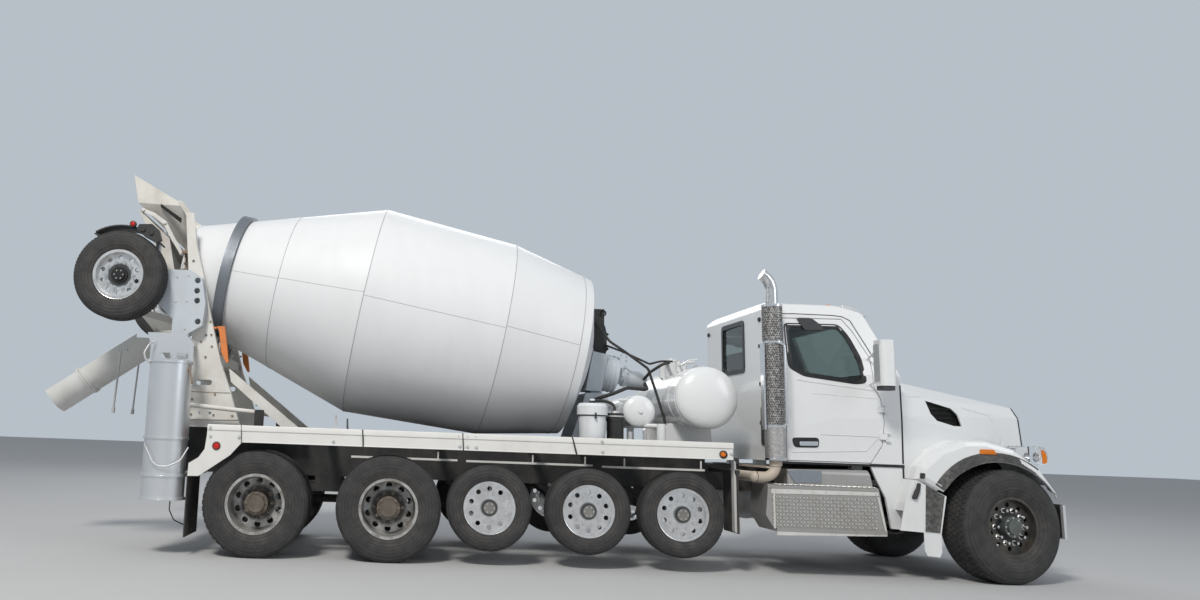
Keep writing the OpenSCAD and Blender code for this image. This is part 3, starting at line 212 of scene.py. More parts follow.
# %% [markdown]
# Working paint is never one flat colour. Dust settles low down and in soft clouds, rain draws it into upright
# streaks, and the gloss goes with it. One recipe makes all of the truck's paints, so that they age alike: a
# clean colour, a dust colour, a height below which dust gathers, and a fine bump for orange peel or rust.

# %% Weathered paints
ROAD_DUST = (0.36, 0.32, 0.27)


def weathered(name, colour, dust, share, low, high, clouds, rough, metal=0.0, coat=0.0, peel=0.02):
    material, tree, spot = new_finish(name)
    upright = add(tree, "ShaderNodeMapping", {"Vector": spot, "Scale": (7.0, 7.0, 0.7)}).outputs[0]
    height = add(tree, "ShaderNodeSeparateXYZ", {0: spot}).outputs["Z"]
    patch = between(tree, noise(tree, spot, clouds, 5.0, 0.6), 0.36, 0.68)
    streak = between(tree, noise(tree, upright, 1.0, 3.0), 0.4, 0.7, 0.35, 1.0)
    dirt = calc(tree, "MULTIPLY", patch, streak)
    dirt = calc(tree, "MULTIPLY", dirt, between(tree, height, low, high, 1.0, 0.22))
    dirt = calc(tree, "MULTIPLY", dirt, share * 2, use_clamp=True)
    return shade_with(material, tree, {
        "Base Color": blend(tree, dirt, colour, dust),
        "Roughness": between(tree, dirt, 0, 1, rough, min(rough + 0.35, 0.95)),
        "Metallic": metal, "Coat Weight": coat, "Coat Roughness": 0.08},
        (noise(tree, spot, 90.0, 2.0), peel, 0.004))


PAINTS = {
    # name: clean, dust, share, dusty below, clean above, cloud scale, roughness, metal, coat, bump
    "white_paint": ((0.80, 0.81, 0.81), ROAD_DUST, 0.10, 0.4, 1.6, 1.3, 0.22, 0, 0.5),
    "drum_paint": ((0.79, 0.80, 0.81), (0.58, 0.58, 0.58), 0.16, -1, 12, 0.9, 0.38, 0, 0.1),
    "tower_paint": ((0.74, 0.73, 0.69), (0.52, 0.48, 0.42), 0.55, 0.5, 4.5, 3.5, 0.6),
    "hopper_paint": ((0.71, 0.69, 0.64), (0.42, 0.38, 0.33), 0.6, 2.5, 5.5, 3.0, 0.7, 0, 0, 0.2),
    "chute_paint": ((0.74, 0.74, 0.72), (0.52, 0.50, 0.46), 0.45, 0.5, 3.5, 4.0, 0.5, 0, 0, 0.1),
    "black_paint": ((0.018, 0.018, 0.018), (0.11, 0.10, 0.09), 0.5, 0.2, 1.6, 4.0, 0.5),
    "grey_paint": ((0.55, 0.60, 0.65), (0.40, 0.38, 0.35), 0.35, 1.0, 3.5, 4.0, 0.5),
    "ring_steel": ((0.20, 0.22, 0.25), (0.13, 0.13, 0.13), 0.5, 0, 8, 3.0, 0.45, 0.5),
    "roller_steel": ((0.35, 0.35, 0.36), (0.12, 0.10, 0.09), 0.5, 0, 5, 8.0, 0.4, 0.9),
    "pale_steel": ((0.62, 0.63, 0.64), (0.38, 0.35, 0.32), 0.4, 0, 3.5, 4.0, 0.45, 0.4),
    "chrome": ((0.80, 0.80, 0.80), (0.45, 0.43, 0.40), 0.12, 0, 3.0, 5.0, 0.10, 1),
    "rod_chrome": ((0.75, 0.75, 0.76), (0.40, 0.38, 0.35), 0.15, 0, 4, 8.0, 0.14, 1),
    "bumper_steel": ((0.70, 0.71, 0.73), (0.45, 0.43, 0.40), 0.2, 0, 2, 5.0, 0.28, 0.4),
    "step_plate": ((0.44, 0.43, 0.41), (0.28, 0.25, 0.22), 0.45, 0.2, 1.3, 5.0, 0.38, 0.7),
    "inside_plastic": ((0.045, 0.045, 0.05), (0.10, 0.10, 0.10), 0.3, 1, 4, 5.0, 0.6),
    "canister_paint": ((0.76, 0.78, 0.80), (0.42, 0.40, 0.37), 0.35, 1.0, 2.6, 5.0, 0.45),
    "engine_iron": ((0.06, 0.06, 0.06), (0.12, 0.10, 0.08), 0.5, 0.4, 1.8, 6.0, 0.7),
    "flap_rubber": ((0.03, 0.03, 0.03), (0.16, 0.14, 0.12), 0.6, 0.1, 1.0, 5.0, 0.75),
    "tread_rubber": ((0.028, 0.028, 0.029), (0.11, 0.10, 0.09), 0.5, 0, 1.4, 7.0, 0.85, 0, 0, 0.3),
    "bright_nut": ((0.78, 0.78, 0.78), (0.35, 0.32, 0.30), 0.2, 0, 4, 20.0, 0.2, 1),
    "dirty_nut": ((0.34, 0.30, 0.26), (0.14, 0.11, 0.09), 0.7, 0, 4, 20.0, 0.6, 0.5),
    "seam_paint": ((0.42, 0.43, 0.45), (0.40, 0.40, 0.40), 0.2, 0, 12, 3.0, 0.5),
    "rail_paint": ((0.78, 0.77, 0.74), (0.45, 0.40, 0.34), 0.25, 0.6, 1.5, 3.0, 0.4),
    "galvanised": ((0.76, 0.78, 0.80), (0.46, 0.45, 0.43), 0.35, 0.3, 2.4, 2.5, 0.30, 0.8),
    "orange_paint": ((0.80, 0.23, 0.05), (0.35, 0.20, 0.12), 0.5, 1, 4, 8.0, 0.6),
    "rusty_steel": ((0.22, 0.15, 0.10), (0.40, 0.34, 0.28), 0.8, 1, 6, 14.0, 0.8, 0.2),
    # near-black for openings: painted shade inside the hopper's slot and the vent, and behind the grille
    "opening_shade_black": ((0.012, 0.012, 0.012), ROAD_DUST, 0.1, 0.4, 1.6, 2.2, 0.9),
    "seal_rubber": ((0.010, 0.010, 0.011), (0.05, 0.05, 0.05), 0.3, 0, 4, 6.0, 0.35),
    "mirror_glass": ((0.9, 0.92, 0.93), ROAD_DUST, 0.05, 0.4, 1.6, 2.2, 0.25, 0.6),
    # a greyer copy of the white paint: painted shade for the crease lines on the doors and hood
    "crease_shade_white": ((0.70, 0.71, 0.72), ROAD_DUST, 0.15, 0.4, 1.6, 2.2, 0.3, 0, 0.4),
    "plate_steel": ((0.80, 0.78, 0.75), (0.50, 0.45, 0.38), 0.5, 0.3, 1.1, 6.0, 0.32, 0.8),
    "lip_paint": ((0.66, 0.65, 0.62), (0.42, 0.37, 0.31), 0.5, 0.3, 1.2, 5.0, 0.5),
    "patch_paint": ((0.20, 0.23, 0.27), (0.30, 0.28, 0.26), 0.4, 0.5, 1.5, 8.0, 0.5),
    "flare_grey": ((0.045, 0.046, 0.048), (0.20, 0.19, 0.17), 0.75, 0.6, 2.2, 26.0, 0.65, 0, 0, 0.3),
    "flap_white": ((0.66, 0.66, 0.64), (0.42, 0.38, 0.32), 0.5, 0.1, 1.0, 5.0, 0.5),
    "seat_cloth": ((0.055, 0.055, 0.060), (0.12, 0.12, 0.12), 0.3, 1, 4, 20.0, 0.85, 0, 0, 0.4),
    "yellow_grip": ((0.85, 0.62, 0.03), (0.40, 0.35, 0.10), 0.2, 1, 4, 8.0, 0.5),
}
paint = {name: weathered(name, *values) for name, values in PAINTS.items()}
print(len(paint), "paints")

# %% [markdown]
# Glass is the one finish that has to let light through. Thin tinted panes look right with full transmission,
# a dark green-grey tint and almost no roughness. The lamp lenses are the same recipe, clear or coloured.

# %% Glass
GLASS = {
    # name: tint, roughness, share of light that passes
    "window_glass": ((0.46, 0.53, 0.51), 0.02, 1.0),
    "lamp_glass": ((0.92, 0.94, 0.96), 0.03, 1.0),
    "red_glass": ((0.80, 0.03, 0.02), 0.15, 0.4),
    "amber_glass": ((1.0, 0.28, 0.02), 0.15, 0.4),
}
for name, (tint, rough, through) in GLASS.items():
    material, tree, spot = new_finish(name)
    film = between(tree, noise(tree, spot, 5.0, 4.0), 0.4, 0.8, rough, rough + 0.05)
    paint[name] = shade_with(material, tree, {
        "Base Color": (*tint, 1), "Roughness": film, "Transmission Weight": through, "IOR": 1.45})
print(len(GLASS), "glasses")

# %% [markdown]
# A packed wheel is one solid: tyre, rim, disc and hub together. Its finish changes with the distance from the
# wheel's own axle, so one material can hold rubber outside the bead and metal inside. The distance is the
# length of the cross product with the axle's direction, which also suits the steered wheels that stand askew.

# %% Finish of a whole wheel
GROOVES, RIBS = 190.0, 420.0


def wheel_finish(name, wheel, metal_colour, metal_rough, dust_share, hub_radius, hub_colour, metalness):
    material, tree, spot = new_finish(name)
    math_node = "ShaderNodeVectorMath"
    arm = add(tree, math_node, {0: spot, 1: wheel["centre"]}, operation="SUBTRACT").outputs[0]
    sweep = add(tree, math_node, {0: arm, 1: wheel["axle"]}, operation="CROSS_PRODUCT").outputs[0]
    radius = add(tree, math_node, {0: sweep}, operation="LENGTH").outputs["Value"]
    bead = mm(wheel["bead"])
    rubber = calc(tree, "GREATER_THAN", radius, bead)
    cloud = noise(tree, spot, 9.0, 5.0, 0.65)
    dirt = between(tree, cloud, 0.38, 0.66, 0, dust_share)
    # A dark ring just outside the hub: painted shade in the gap between hub and disc
    socket = between(tree, radius, hub_radius * 1.30, hub_radius * 1.55, 0.88, 0)
    disc = blend(tree, socket, blend(tree, dirt, metal_colour, (0.16, 0.13, 0.10)), (0.03, 0.03, 0.03))
    hub = blend(tree, dirt, hub_colour, (0.10, 0.08, 0.06))
    inner = blend(tree, calc(tree, "LESS_THAN", radius, hub_radius), disc, hub)
    worn = between(tree, radius, bead * 1.12, bead * 1.45, 1, 0)
    mud = blend(tree, worn, (0.078, 0.075, 0.071), (0.120, 0.106, 0.094))
    wall = blend(tree, between(tree, cloud, 0.4, 0.7, 0.12, 0.60), (0.026, 0.026, 0.027), mud)
    groove = calc(tree, "SINE", calc(tree, "MULTIPLY", radius, GROOVES))
    wall = blend(tree, between(tree, groove, 0.2, 0.9, 0, 0.55), wall, (0.022, 0.022, 0.023))
    ribs = calc(tree, "MULTIPLY", calc(tree, "SINE", calc(tree, "MULTIPLY", radius, RIBS)), rubber)
    return shade_with(material, tree, {
        "Base Color": blend(tree, rubber, inner, wall),
        "Roughness": between(tree, rubber, 0, 1, metal_rough, 0.78),
        "Metallic": between(tree, rubber, 0, 1, metalness, 0)}, (calc(tree, "ADD", ribs, cloud), 0.25, 0.003))


STEER = math.radians(10)
WHEELS = {
    # kind: tyre radius, width, bead radius, height, distance from the middle, reach past the kingpin, places
    "drive": (525, 278, 300, 525, 908, 0, (0, 1340)),
    "pusher": (422, 248, 262, 567, 1076, 0, (2357, 3360, 4312)),
    "booster": (461, 300, 262, 2810, 1060, 0, (-1560,)),
    "front": (562, 416, 300, 562, 900, 140, (7590,)),
}
LOOKS = {
    # kind: metal colour, its roughness, share of dust, hub radius, hub colour, metalness
    "drive": ((0.52, 0.52, 0.51), 0.45, 0.85, 0.125, (0.20, 0.17, 0.14), 0.5),
    "pusher": ((0.84, 0.84, 0.84), 0.22, 0.30, 0.060, (0.40, 0.38, 0.35), 1.0),
    "booster": ((0.76, 0.76, 0.76), 0.33, 0.35, 0.088, (0.05, 0.05, 0.05), 0.9),
    "front": ((0.07, 0.068, 0.065), 0.45, 0.5, 0.106, (0.14, 0.16, 0.15), 0.6),
}
wheels = {}
for side, side_name in BOTH[::-1]:
    for kind, (tyre, width, bead, z, y, past_pin, places) in WHEELS.items():
        axle = Matrix.Rotation(STEER if kind == "front" else 0, 3, "Z") @ Vector((0, side, 0))
        for number, x in enumerate(places, 1):
            name = f"wheel_{kind}_{number}_{side_name}" if len(places) > 1 else f"wheel_{kind}_{side_name}"
            wheels[name] = dict(kind=kind, tyre=tyre, width=width, bead=bead, axle=axle,
                                centre=place(x, side * y, z) + axle * mm(past_pin))
            paint[name] = wheel_finish(name, wheels[name], *LOOKS[kind])
print(len(wheels), "wheel finishes")

# %% [markdown]
# The exhaust stack changes its finish with height: a beige elbow, a dull casing, a speckled heat shield and a
# bright tip. After that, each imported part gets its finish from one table.

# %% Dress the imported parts
ELBOW_TOP, TIP_FROM, TIP_FULL = 1.137, 2.70, 2.76
STACK_ZONES = (
    # share of four metres, colour from there upward
    (0.0, (0.50, 0.43, 0.35, 1)),
    (0.284, (0.42, 0.40, 0.38, 1)),
    (0.3675, (0.15, 0.135, 0.125, 1)),
    (0.6815, (0.75, 0.76, 0.78, 1)))
material, tree, spot = new_finish("stack_finish")
height = add(tree, "ShaderNodeSeparateXYZ", {0: spot}).outputs["Z"]
speck = between(tree, noise(tree, spot, 42.0, 4.0, 0.7), 0.42, 0.60)
zones = add(tree, "ShaderNodeValToRGB", {"Fac": between(tree, height, 0, 4.0)})
zones.color_ramp.interpolation = "CONSTANT"
for level, colour in STACK_ZONES:
    stop = zones.color_ramp.elements.new(level) if level else zones.color_ramp.elements[0]
    stop.color = colour
zones.color_ramp.elements.remove(zones.color_ramp.elements[-1])
bare = calc(tree, "GREATER_THAN", height, ELBOW_TOP)
steel = blend(tree, speck, zones.outputs[0], (0.55, 0.54, 0.53))
polish = between(tree, height, TIP_FROM, TIP_FULL, 0.42, 0.12)
paint["stack_finish"] = shade_with(material, tree, {
    "Base Color": blend(tree, bare, zones.outputs[0], steel),
    "Roughness": calc(tree, "MULTIPLY_ADD", noise(tree, spot, 9.0, 4.0), 0.15, polish),
    "Metallic": calc(tree, "MULTIPLY", bare, 0.85)})

DRESS = {
    "black_paint": "chassis_frame mixer_subframe front_axle drive_axles pusher_axles oil_cooler knuckle_left "
                   "knuckle_right",
    "white_paint": "cab_shell splash_panels water_tank air_tank hood door_left door_right",
    "window_glass": "cab_glass door_glass_left door_glass_right",
    "tower_paint": "rear_tower collector chute_swivel booster_cylinders",
    "grey_paint": "front_pedestal gearbox booster_arm", "chute_paint": "main_chute fold_chute",
    "roller_steel": "drum_roller_left drum_roller_right", "engine_iron": "engine", "bumper_steel": "bumper",
    "inside_plastic": "cab_interior", "step_plate": "step_box", "pale_steel": "fuel_tank",
    "stack_finish": "exhaust", "rail_paint": "deck_rails", "flap_rubber": "mud_flaps",
    "galvanised": "spare_chute", "drum_paint": "drum", "ring_steel": "drum_track", "hopper_paint": "hopper",
    "chrome": "grille", "lamp_glass": "headlamps", "rod_chrome": "booster_rods",
    "canister_paint": "deck_canister", **{name: name for name in wheels},
}
dressed = 0
for finish, names in DRESS.items():
    for name in names.split():
        node = nodes[name]
        if not node.material_slots:
            node.data.materials.append(paint[finish])
        for slot in node.material_slots:
            slot.material = paint[finish]
        dressed += 1
print("dressed", dressed, "of", len(nodes))

# %% [markdown]
# Most trim is a flat outline with some depth, a turned shape, a pin, or a box between two corners. Short
# bmesh helpers make them all from rings of corners, so that a piece can gather many shapes in one mesh. The
# last one closes a piece: it bevels the edges, as real sheet has, and sends it with the body that carries it.

# %% Helpers for trim in bmesh
UP = (0, 0, 1)
ACROSS = (0, 1, 0)


def along(origin, direction):
    """A matrix at a place whose own Z axis points in a direction."""
    turn = Vector(direction).normalized().to_track_quat("Z", "Y")
    return Matrix.Translation(origin) @ turn.to_matrix().to_4x4()


def arc(x, y, radius, angles):
    """Points round a middle, one at each angle in degrees."""
    turns = [math.radians(angle) for angle in angles]
    return [(x + radius * math.cos(turn), y + radius * math.sin(turn)) for turn in turns]


def bridge(bm, rings, closed=False):
    """Faces between rings with as many corners, which end in caps unless the last ring meets the first."""
    rings = list(rings)
    if not closed:
        bm.faces.new(rings[0])
        bm.faces.new(rings[-1][::-1])
    for here, there in zip(rings, rings[1:] + rings[:1] if closed else rings[1:]):
        for i in range(len(here)):
            bm.faces.new((here[i - 1], there[i - 1], there[i], here[i]))


def add_prism(bm, outline, axis, low, high):
    """An outline in the two other axes, in order, stretched along one axis, all in workshop millimetres."""
    rank = "xyz".index(axis)
    bridge(bm, [
        [bm.verts.new(place(*spot[:rank], end, *spot[rank:])) for spot in outline] for end in (low, high)])


def add_plate(bm, outline, side, inner, outer):
    """An upright plate on one side of the truck, between two distances from its middle."""
    add_prism(bm, outline, "y", *sorted((side * inner, side * outer)))


def add_box(bm, x, y, z):
    add_prism(bm, [(x[0], y[0]), (x[1], y[0]), (x[1], y[1]), (x[0], y[1])], "z", z[0], z[1])


def add_turned(bm, profile, matrix, steps=32):
    """A closed profile of (radius, height) pairs in millimetres, turned round the matrix's own Z axis."""
    angles = [2 * math.pi * step / steps for step in range(steps)]
    bridge(bm, [[
        bm.verts.new(matrix @ Vector((mm(r) * math.cos(angle), mm(r) * math.sin(angle), mm(h))))
        for r, h in profile] for angle in angles], closed=True)


def add_hoop(bm, inner, outer, low, high, matrix, steps=48):
    add_turned(bm, [(inner, low), (outer, low), (outer, high), (inner, high)], matrix, steps)


def add_pin(bm, at, direction, low, top, height, sides=16):
    """A pin, head or cone that stands at a place."""
    bmesh.ops.create_cone(
        bm, cap_ends=True, segments=sides, radius1=mm(low), radius2=mm(top), depth=mm(height),
        matrix=along(place(*at), direction) @ Matrix.Translation((0, 0, mm(height / 2))))


def add_studs(bm, spots, side, y, *sizes):
    """Like pins that stand out of a side face, one at each (x, z) spot."""
    for x, z in spots:
        add_pin(bm, (x, side * y, z), (0, side, 0), *sizes)


def put(name, bm, finish, bevel=0.0, body="chassis", smooth=40):
    bmesh.ops.remove_doubles(bm, verts=bm.verts, dist=0.00002)
    bmesh.ops.recalc_face_normals(bm, faces=bm.faces)
    mesh = bpy.data.meshes.new(name)
    bm.to_mesh(mesh)
    bm.free()
    settle(name, mesh, finish, bevel, body, smooth)


def settle(name, mesh, finish, bevel=0.0, body="chassis", smooth=40):
    mesh.materials.clear()
    mesh.materials.append(paint[finish])
    for face in mesh.polygons:
        face.use_smooth = True
    mesh.set_sharp_from_angle(angle=math.radians(smooth))
    made = show(name, mesh)
    if bevel:
        edge = made.modifiers.new("edge", "BEVEL")
        edge.width = mm(bevel)
        edge.segments = 2
        edge.limit_method = "ANGLE"
        edge.angle_limit = math.radians(40)
    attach(made, body)


print("trim helpers ready")

# %% [markdown]
# Things that repeat come from Geometry Nodes. Each tree is built here, with its sizes as named inputs, and
# ends in Realize Instances and Set Material. The result is made a plain mesh before it rides anywhere.

# %% Helpers for Geometry Nodes
SOCKETS = {int: "NodeSocketInt", float: "NodeSocketFloat", tuple: "NodeSocketVector"}


def shape_tree(name, sizes, takes_path=False):
    tree = bpy.data.node_groups.new(name, "GeometryNodeTree")
    if takes_path:
        tree.interface.new_socket("Path", in_out="INPUT", socket_type="NodeSocketGeometry")
    for label, value in sizes.items():
        socket = tree.interface.new_socket(label, in_out="INPUT", socket_type=SOCKETS[type(value)])
        socket.default_value = value
    tree.interface.new_socket("Material", in_out="INPUT", socket_type="NodeSocketMaterial")
    tree.interface.new_socket("Geometry", in_out="OUTPUT", socket_type="NodeSocketGeometry")
    return tree, add(tree, "NodeGroupInput").outputs


def close_tree(tree, ports, geometry):
    real = add(tree, "GeometryNodeRealizeInstances", {"Geometry": geometry}).outputs[0]
    painted = add(tree, "GeometryNodeSetMaterial", {"Geometry": real, "Material": ports["Material"]})
    add(tree, "NodeGroupOutput", {"Geometry": painted.outputs[0]})


def copies(tree, points, instance, turn=None):
    values = {"Points": points, "Instance": instance}
    if turn:
        values["Rotation"] = turn
    return add(tree, "GeometryNodeInstanceOnPoints", values).outputs[0]


def grow(name, tree, sizes, matrix, finish, body="chassis", path=None):
    carrier = show(name, path or bpy.data.meshes.new(name))
    modifier = carrier.modifiers.new("shape", "NODES")
    modifier.node_group = tree
    values = {**sizes, "Material": paint[finish]}
    for item in tree.interface.items_tree:
        if item.in_out == "INPUT" and item.name in values:
            modifier[item.identifier] = values[item.name]
    graph = bpy.context.evaluated_depsgraph_get()
    mesh = bpy.data.meshes.new_from_object(carrier.evaluated_get(graph), depsgraph=graph)
    bpy.data.objects.remove(carrier)
    mesh.transform(matrix)
    mesh.name = name
    settle(name, mesh, finish, body=body)


# A ring of turned pieces: washer, head and stud end in one
ring_tree, port = shape_tree("ring of fasteners", {
    "Count": 10, "Ring Radius": 0.14, "Head Radius": 0.02, "Top Radius": 0.02, "Head Height": 0.02,
    "Sides": 6, "Stud Radius": 0.009, "Stud Height": 0.03})
wide = calc(ring_tree, "MULTIPLY", port["Head Radius"], 1.3)
group = add(ring_tree, "GeometryNodeJoinGeometry")
for sides, low, top, height in (
        (port["Sides"], port["Head Radius"], port["Top Radius"], port["Head Height"]),
        (10, port["Stud Radius"], port["Stud Radius"], port["Stud Height"]), (20, wide, wide, 0.003)):
    cone = add(ring_tree, "GeometryNodeMeshCone", {
        "Vertices": sides, "Radius Bottom": low, "Radius Top": top, "Depth": height})
    ring_tree.links.new(cone.outputs["Mesh"], group.inputs[0])
points = add(ring_tree, "GeometryNodeMeshCircle", {"Vertices": port["Count"], "Radius": port["Ring Radius"]})
close_tree(ring_tree, port, copies(ring_tree, points.outputs[0], group.outputs[0]))

# Tread: rows of blocks across the tyre, repeated round it, every other row half a pitch on
tread_tree, port = shape_tree("tread blocks", {
    "Count": 56, "Rows": 5, "Radius": 0.52, "Row Pitch": 0.04, "Block": (0.014, 0.04, 0.03), "Stagger": 0.02})
index = add(tread_tree, "GeometryNodeInputIndex").outputs[0]
shift = calc(tread_tree, "MULTIPLY", calc(tread_tree, "MODULO", index, 2.0), port["Stagger"])
span = calc(tread_tree, "MULTIPLY", calc(tread_tree, "SUBTRACT", port["Rows"], 1.0), port["Row Pitch"])
step = add(tread_tree, "ShaderNodeCombineXYZ", {"Z": port["Row Pitch"]}).outputs[0]
move = add(tread_tree, "ShaderNodeCombineXYZ", {"Y": shift, "Z": calc(tread_tree, "MULTIPLY", span, -0.5)})
line = add(tread_tree, "GeometryNodeMeshLine", {"Count": port["Rows"], "Offset": step}).outputs[0]
line = add(tread_tree, "GeometryNodeSetPosition", {"Geometry": line, "Offset": move.outputs[0]}).outputs[0]
block = add(tread_tree, "GeometryNodeMeshCube", {"Size": port["Block"]}).outputs[0]
outward = add(tread_tree, "GeometryNodeInputPosition").outputs[0]
facing = add(tread_tree, "FunctionNodeAlignRotationToVector", {"Vector": outward}, axis="X").outputs[0]
ring = add(tread_tree, "GeometryNodeMeshCircle", {"Vertices": port["Count"], "Radius": port["Radius"]})
row = copies(tread_tree, line, block)
close_tree(tread_tree, port, copies(tread_tree, ring.outputs[0], row, facing))

# A tube along a path with rounded corners
tube_tree, port = shape_tree("tube along a path", {"Radius": 0.01, "Bend Radius": 0.02, "Sides": 12}, True)
curve = add(tube_tree, "GeometryNodeMeshToCurve", {"Mesh": port["Path"]})
bend = add(tube_tree, "GeometryNodeFilletCurve", {
    "Curve": curve.outputs[0], "Radius": port["Bend Radius"], "Count": 5, "Limit Radius": True}, mode="POLY")
section = add(tube_tree, "GeometryNodeCurvePrimitiveCircle", {
    "Resolution": port["Sides"], "Radius": port["Radius"]})
tube = add(tube_tree, "GeometryNodeCurveToMesh", {
    "Curve": bend.outputs[0], "Profile Curve": section.outputs[0], "Fill Caps": True})
close_tree(tube_tree, port, tube.outputs[0])

# Chequer plate: a grid of small lozenges, each turned by a quarter from the one beside it
plate_tree, port = shape_tree("chequer plate", {
    "Columns": 40, "Rows": 10, "Pitch": 0.027, "Lozenge": (0.022, 0.006, 0.003)})
wide, high = (
    calc(plate_tree, "MULTIPLY", calc(plate_tree, "SUBTRACT", port[count], 1.0), port["Pitch"])
    for count in ("Columns", "Rows"))
grid = add(plate_tree, "GeometryNodeMeshGrid", {
    "Size X": wide, "Size Y": high, "Vertices X": port["Columns"], "Vertices Y": port["Rows"]})
index = add(plate_tree, "GeometryNodeInputIndex").outputs[0]
column = calc(plate_tree, "FLOOR", calc(plate_tree, "DIVIDE", index, port["Rows"]))
parity = calc(plate_tree, "ADD", column, calc(plate_tree, "MODULO", index, port["Rows"]))
parity = calc(plate_tree, "MODULO", parity, 2.0)
angle = calc(plate_tree, "MULTIPLY_ADD", parity, math.pi / 2, math.pi / 4)
twist = add(plate_tree, "ShaderNodeCombineXYZ", {"Z": angle}).outputs[0]
lozenge = add(plate_tree, "GeometryNodeMeshCone", {
    "Vertices": 4, "Radius Bottom": 0.5, "Radius Top": 0.3, "Depth": 1.0}).outputs["Mesh"]
shaped = add(plate_tree, "GeometryNodeTransform", {"Geometry": lozenge, "Scale": port["Lozenge"]}).outputs[0]
close_tree(plate_tree, port, copies(plate_tree, grid.outputs[0], shaped, twist))


def ring_of(name, matrix, face, finish, count, circle, low, top, height, stud, stud_height, body="chassis"):
    """A ring of fasteners at a height on the matrix's own Z axis."""
    grow(name, ring_tree, {
        "Count": count, "Ring Radius": mm(circle), "Head Radius": mm(low), "Top Radius": mm(top),
        "Head Height": mm(height), "Stud Radius": mm(stud), "Stud Height": mm(stud_height)},
        matrix @ Matrix.Translation((0, 0, mm(face))), finish, body)


def tube_along(name, points, radius, finish, bend_radius=20, body="chassis", sides=12):
    path = bpy.data.meshes.new(name)
    path.from_pydata([place(*p) for p in points], [(i, i + 1) for i in range(len(points) - 1)], [])
    grow(name, tube_tree, {"Radius": mm(radius), "Bend Radius": mm(bend_radius), "Sides": sides},
         Matrix.Identity(4), finish, body, path)


print("4 node trees")

# %% [markdown]
# Tyres first, because they say "truck" before anything else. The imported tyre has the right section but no
# tread. Drive tyres get staggered lugs, all others near-closed ribs with small notches, about 6 mm proud, and
# the floor lies that much lower. Nuts sit on the real bolt circles: ten on 286 mm, and ten tall covers on
# 336 mm in front.

# %% Tread and wheel nuts
TREAD_SHARE, BLOCK_SHARE, BLOCK_DEPTH, DUAL_OFFSET = 0.70, 0.80, 0.014, 171.5
TREAD = {
    # kind: blocks round the tyre, rows across it, share of the round that they fill
    "drive": (52, 5, 0.72),
    "pusher": (70, 5, 0.86),
    "booster": (74, 5, 0.86),
    "front": (64, 6, 0.80),
}
NUTS = {
    # kind: face of the disc, finish, count, circle, radius, top radius, height, stud radius, stud height
    "drive": (22, "dirty_nut", 10, 143, 20, 20, 20, 10, 42),
    "pusher": (71, "bright_nut", 10, 143, 19, 19, 22, 10, 44),
    "booster": (61, "bright_nut", 10, 143, 19, 19, 22, 10, 44),
    "front": (106, "bright_nut", 10, 168, 20, 15, 55, 8, 58),
}
CAPS = {
    # kind: the same for the small bolts on the hub
    "drive": (188, "dirty_nut", 8, 101, 9, 9, 12, 3.6, 12),
    "pusher": (105, "bright_nut", 6, 46, 6, 6, 7, 2.4, 7),
    "booster": (100, "bright_nut", 6, 46, 6, 6, 7, 2.4, 7),
    "front": (170, "bright_nut", 8, 88, 7, 7, 8, 2.8, 8),
}
for name, wheel in wheels.items():
    kind = wheel["kind"]
    count, rows, fill = TREAD[kind]
    seat = along(wheel["centre"], wheel["axle"])
    pitch = wheel["width"] * TREAD_SHARE / rows
    length = 2 * math.pi * wheel["tyre"] / count
    for i, shift in enumerate((-DUAL_OFFSET, DUAL_OFFSET) if kind == "drive" else (0,)):
        grow(f"tread_{name[6:]}_{i}", tread_tree, {
            "Count": count, "Rows": rows, "Radius": mm(wheel["tyre"] - 1), "Row Pitch": mm(pitch),
            "Block": (BLOCK_DEPTH, mm(length * fill), mm(pitch * BLOCK_SHARE)), "Stagger": mm(length / 2)},
            seat @ Matrix.Translation((0, 0, mm(shift))), "tread_rubber", name)
    ring_of(f"nuts_{name[6:]}", seat, *NUTS[kind], name)
    ring_of(f"hub_bolts_{name[6:]}", seat, *CAPS[kind], name)
print("tread and nuts on", len(wheels), "wheels")

# %% [markdown]
# A few more helpers, for trim that lies on a curved skin. A ray sent square to the truck's side finds the
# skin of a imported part, so that a seam or a lamp can sit on it exactly, wherever the skin bends.

# %% Helpers for trim on a skin
RAY_START, NEAR_SKIN = 1240, 1100
skins = {}


def skin(node, x, z, side, gap=0.0):
    """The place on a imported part's side skin, a gap outside it, in workshop millimetres."""
    if node not in skins:
        skins[node] = BVHTree.FromObject(nodes[node], bpy.context.evaluated_depsgraph_get())
    spot = skins[node].ray_cast(place(x, side * RAY_START, z), Vector((0, -side, 0)))[0]
    if spot is None:
        spot = skins[node].find_nearest(place(x, side * NEAR_SKIN, z))[0]
    return (x, spot.y * 1000 + side * gap, z)


def divided(*paths, pitch=60):
    """The paths with extra points, as many on each, so that no stretch is longer than the pitch."""
    made = [[path[0]] for path in paths]
    for leg in range(len(paths[0]) - 1):
        count = max(1, *(math.ceil(math.dist(path[leg], path[leg + 1]) / pitch) for path in paths))
        for line, path in zip(made, paths):
            a, b = path[leg], path[leg + 1]
            line += [tuple(p + (q - p) * i / count for p, q in zip(a, b)) for i in range(1, count + 1)]
    return made


def add_ribbon(bm, node, first, second, side, under, over):
    """A strip that lies on a skin between two paths with as many corners."""
    first, second = divided(first, second)
    rows = []
    for path, gap in ((first, over), (second, over), (second, -under), (first, -under)):
        rows.append([bm.verts.new(place(*skin(node, x, z, side, gap))) for x, z in path])
    bridge(bm, zip(*rows))


def line_on(name, node, path, side, radius, finish, body="chassis", gap=0.0):
    spots = [skin(node, x, z, side, gap) for x, z in divided(path)[0]]
    tube_along(name, spots, radius, finish, 5, body, 8)


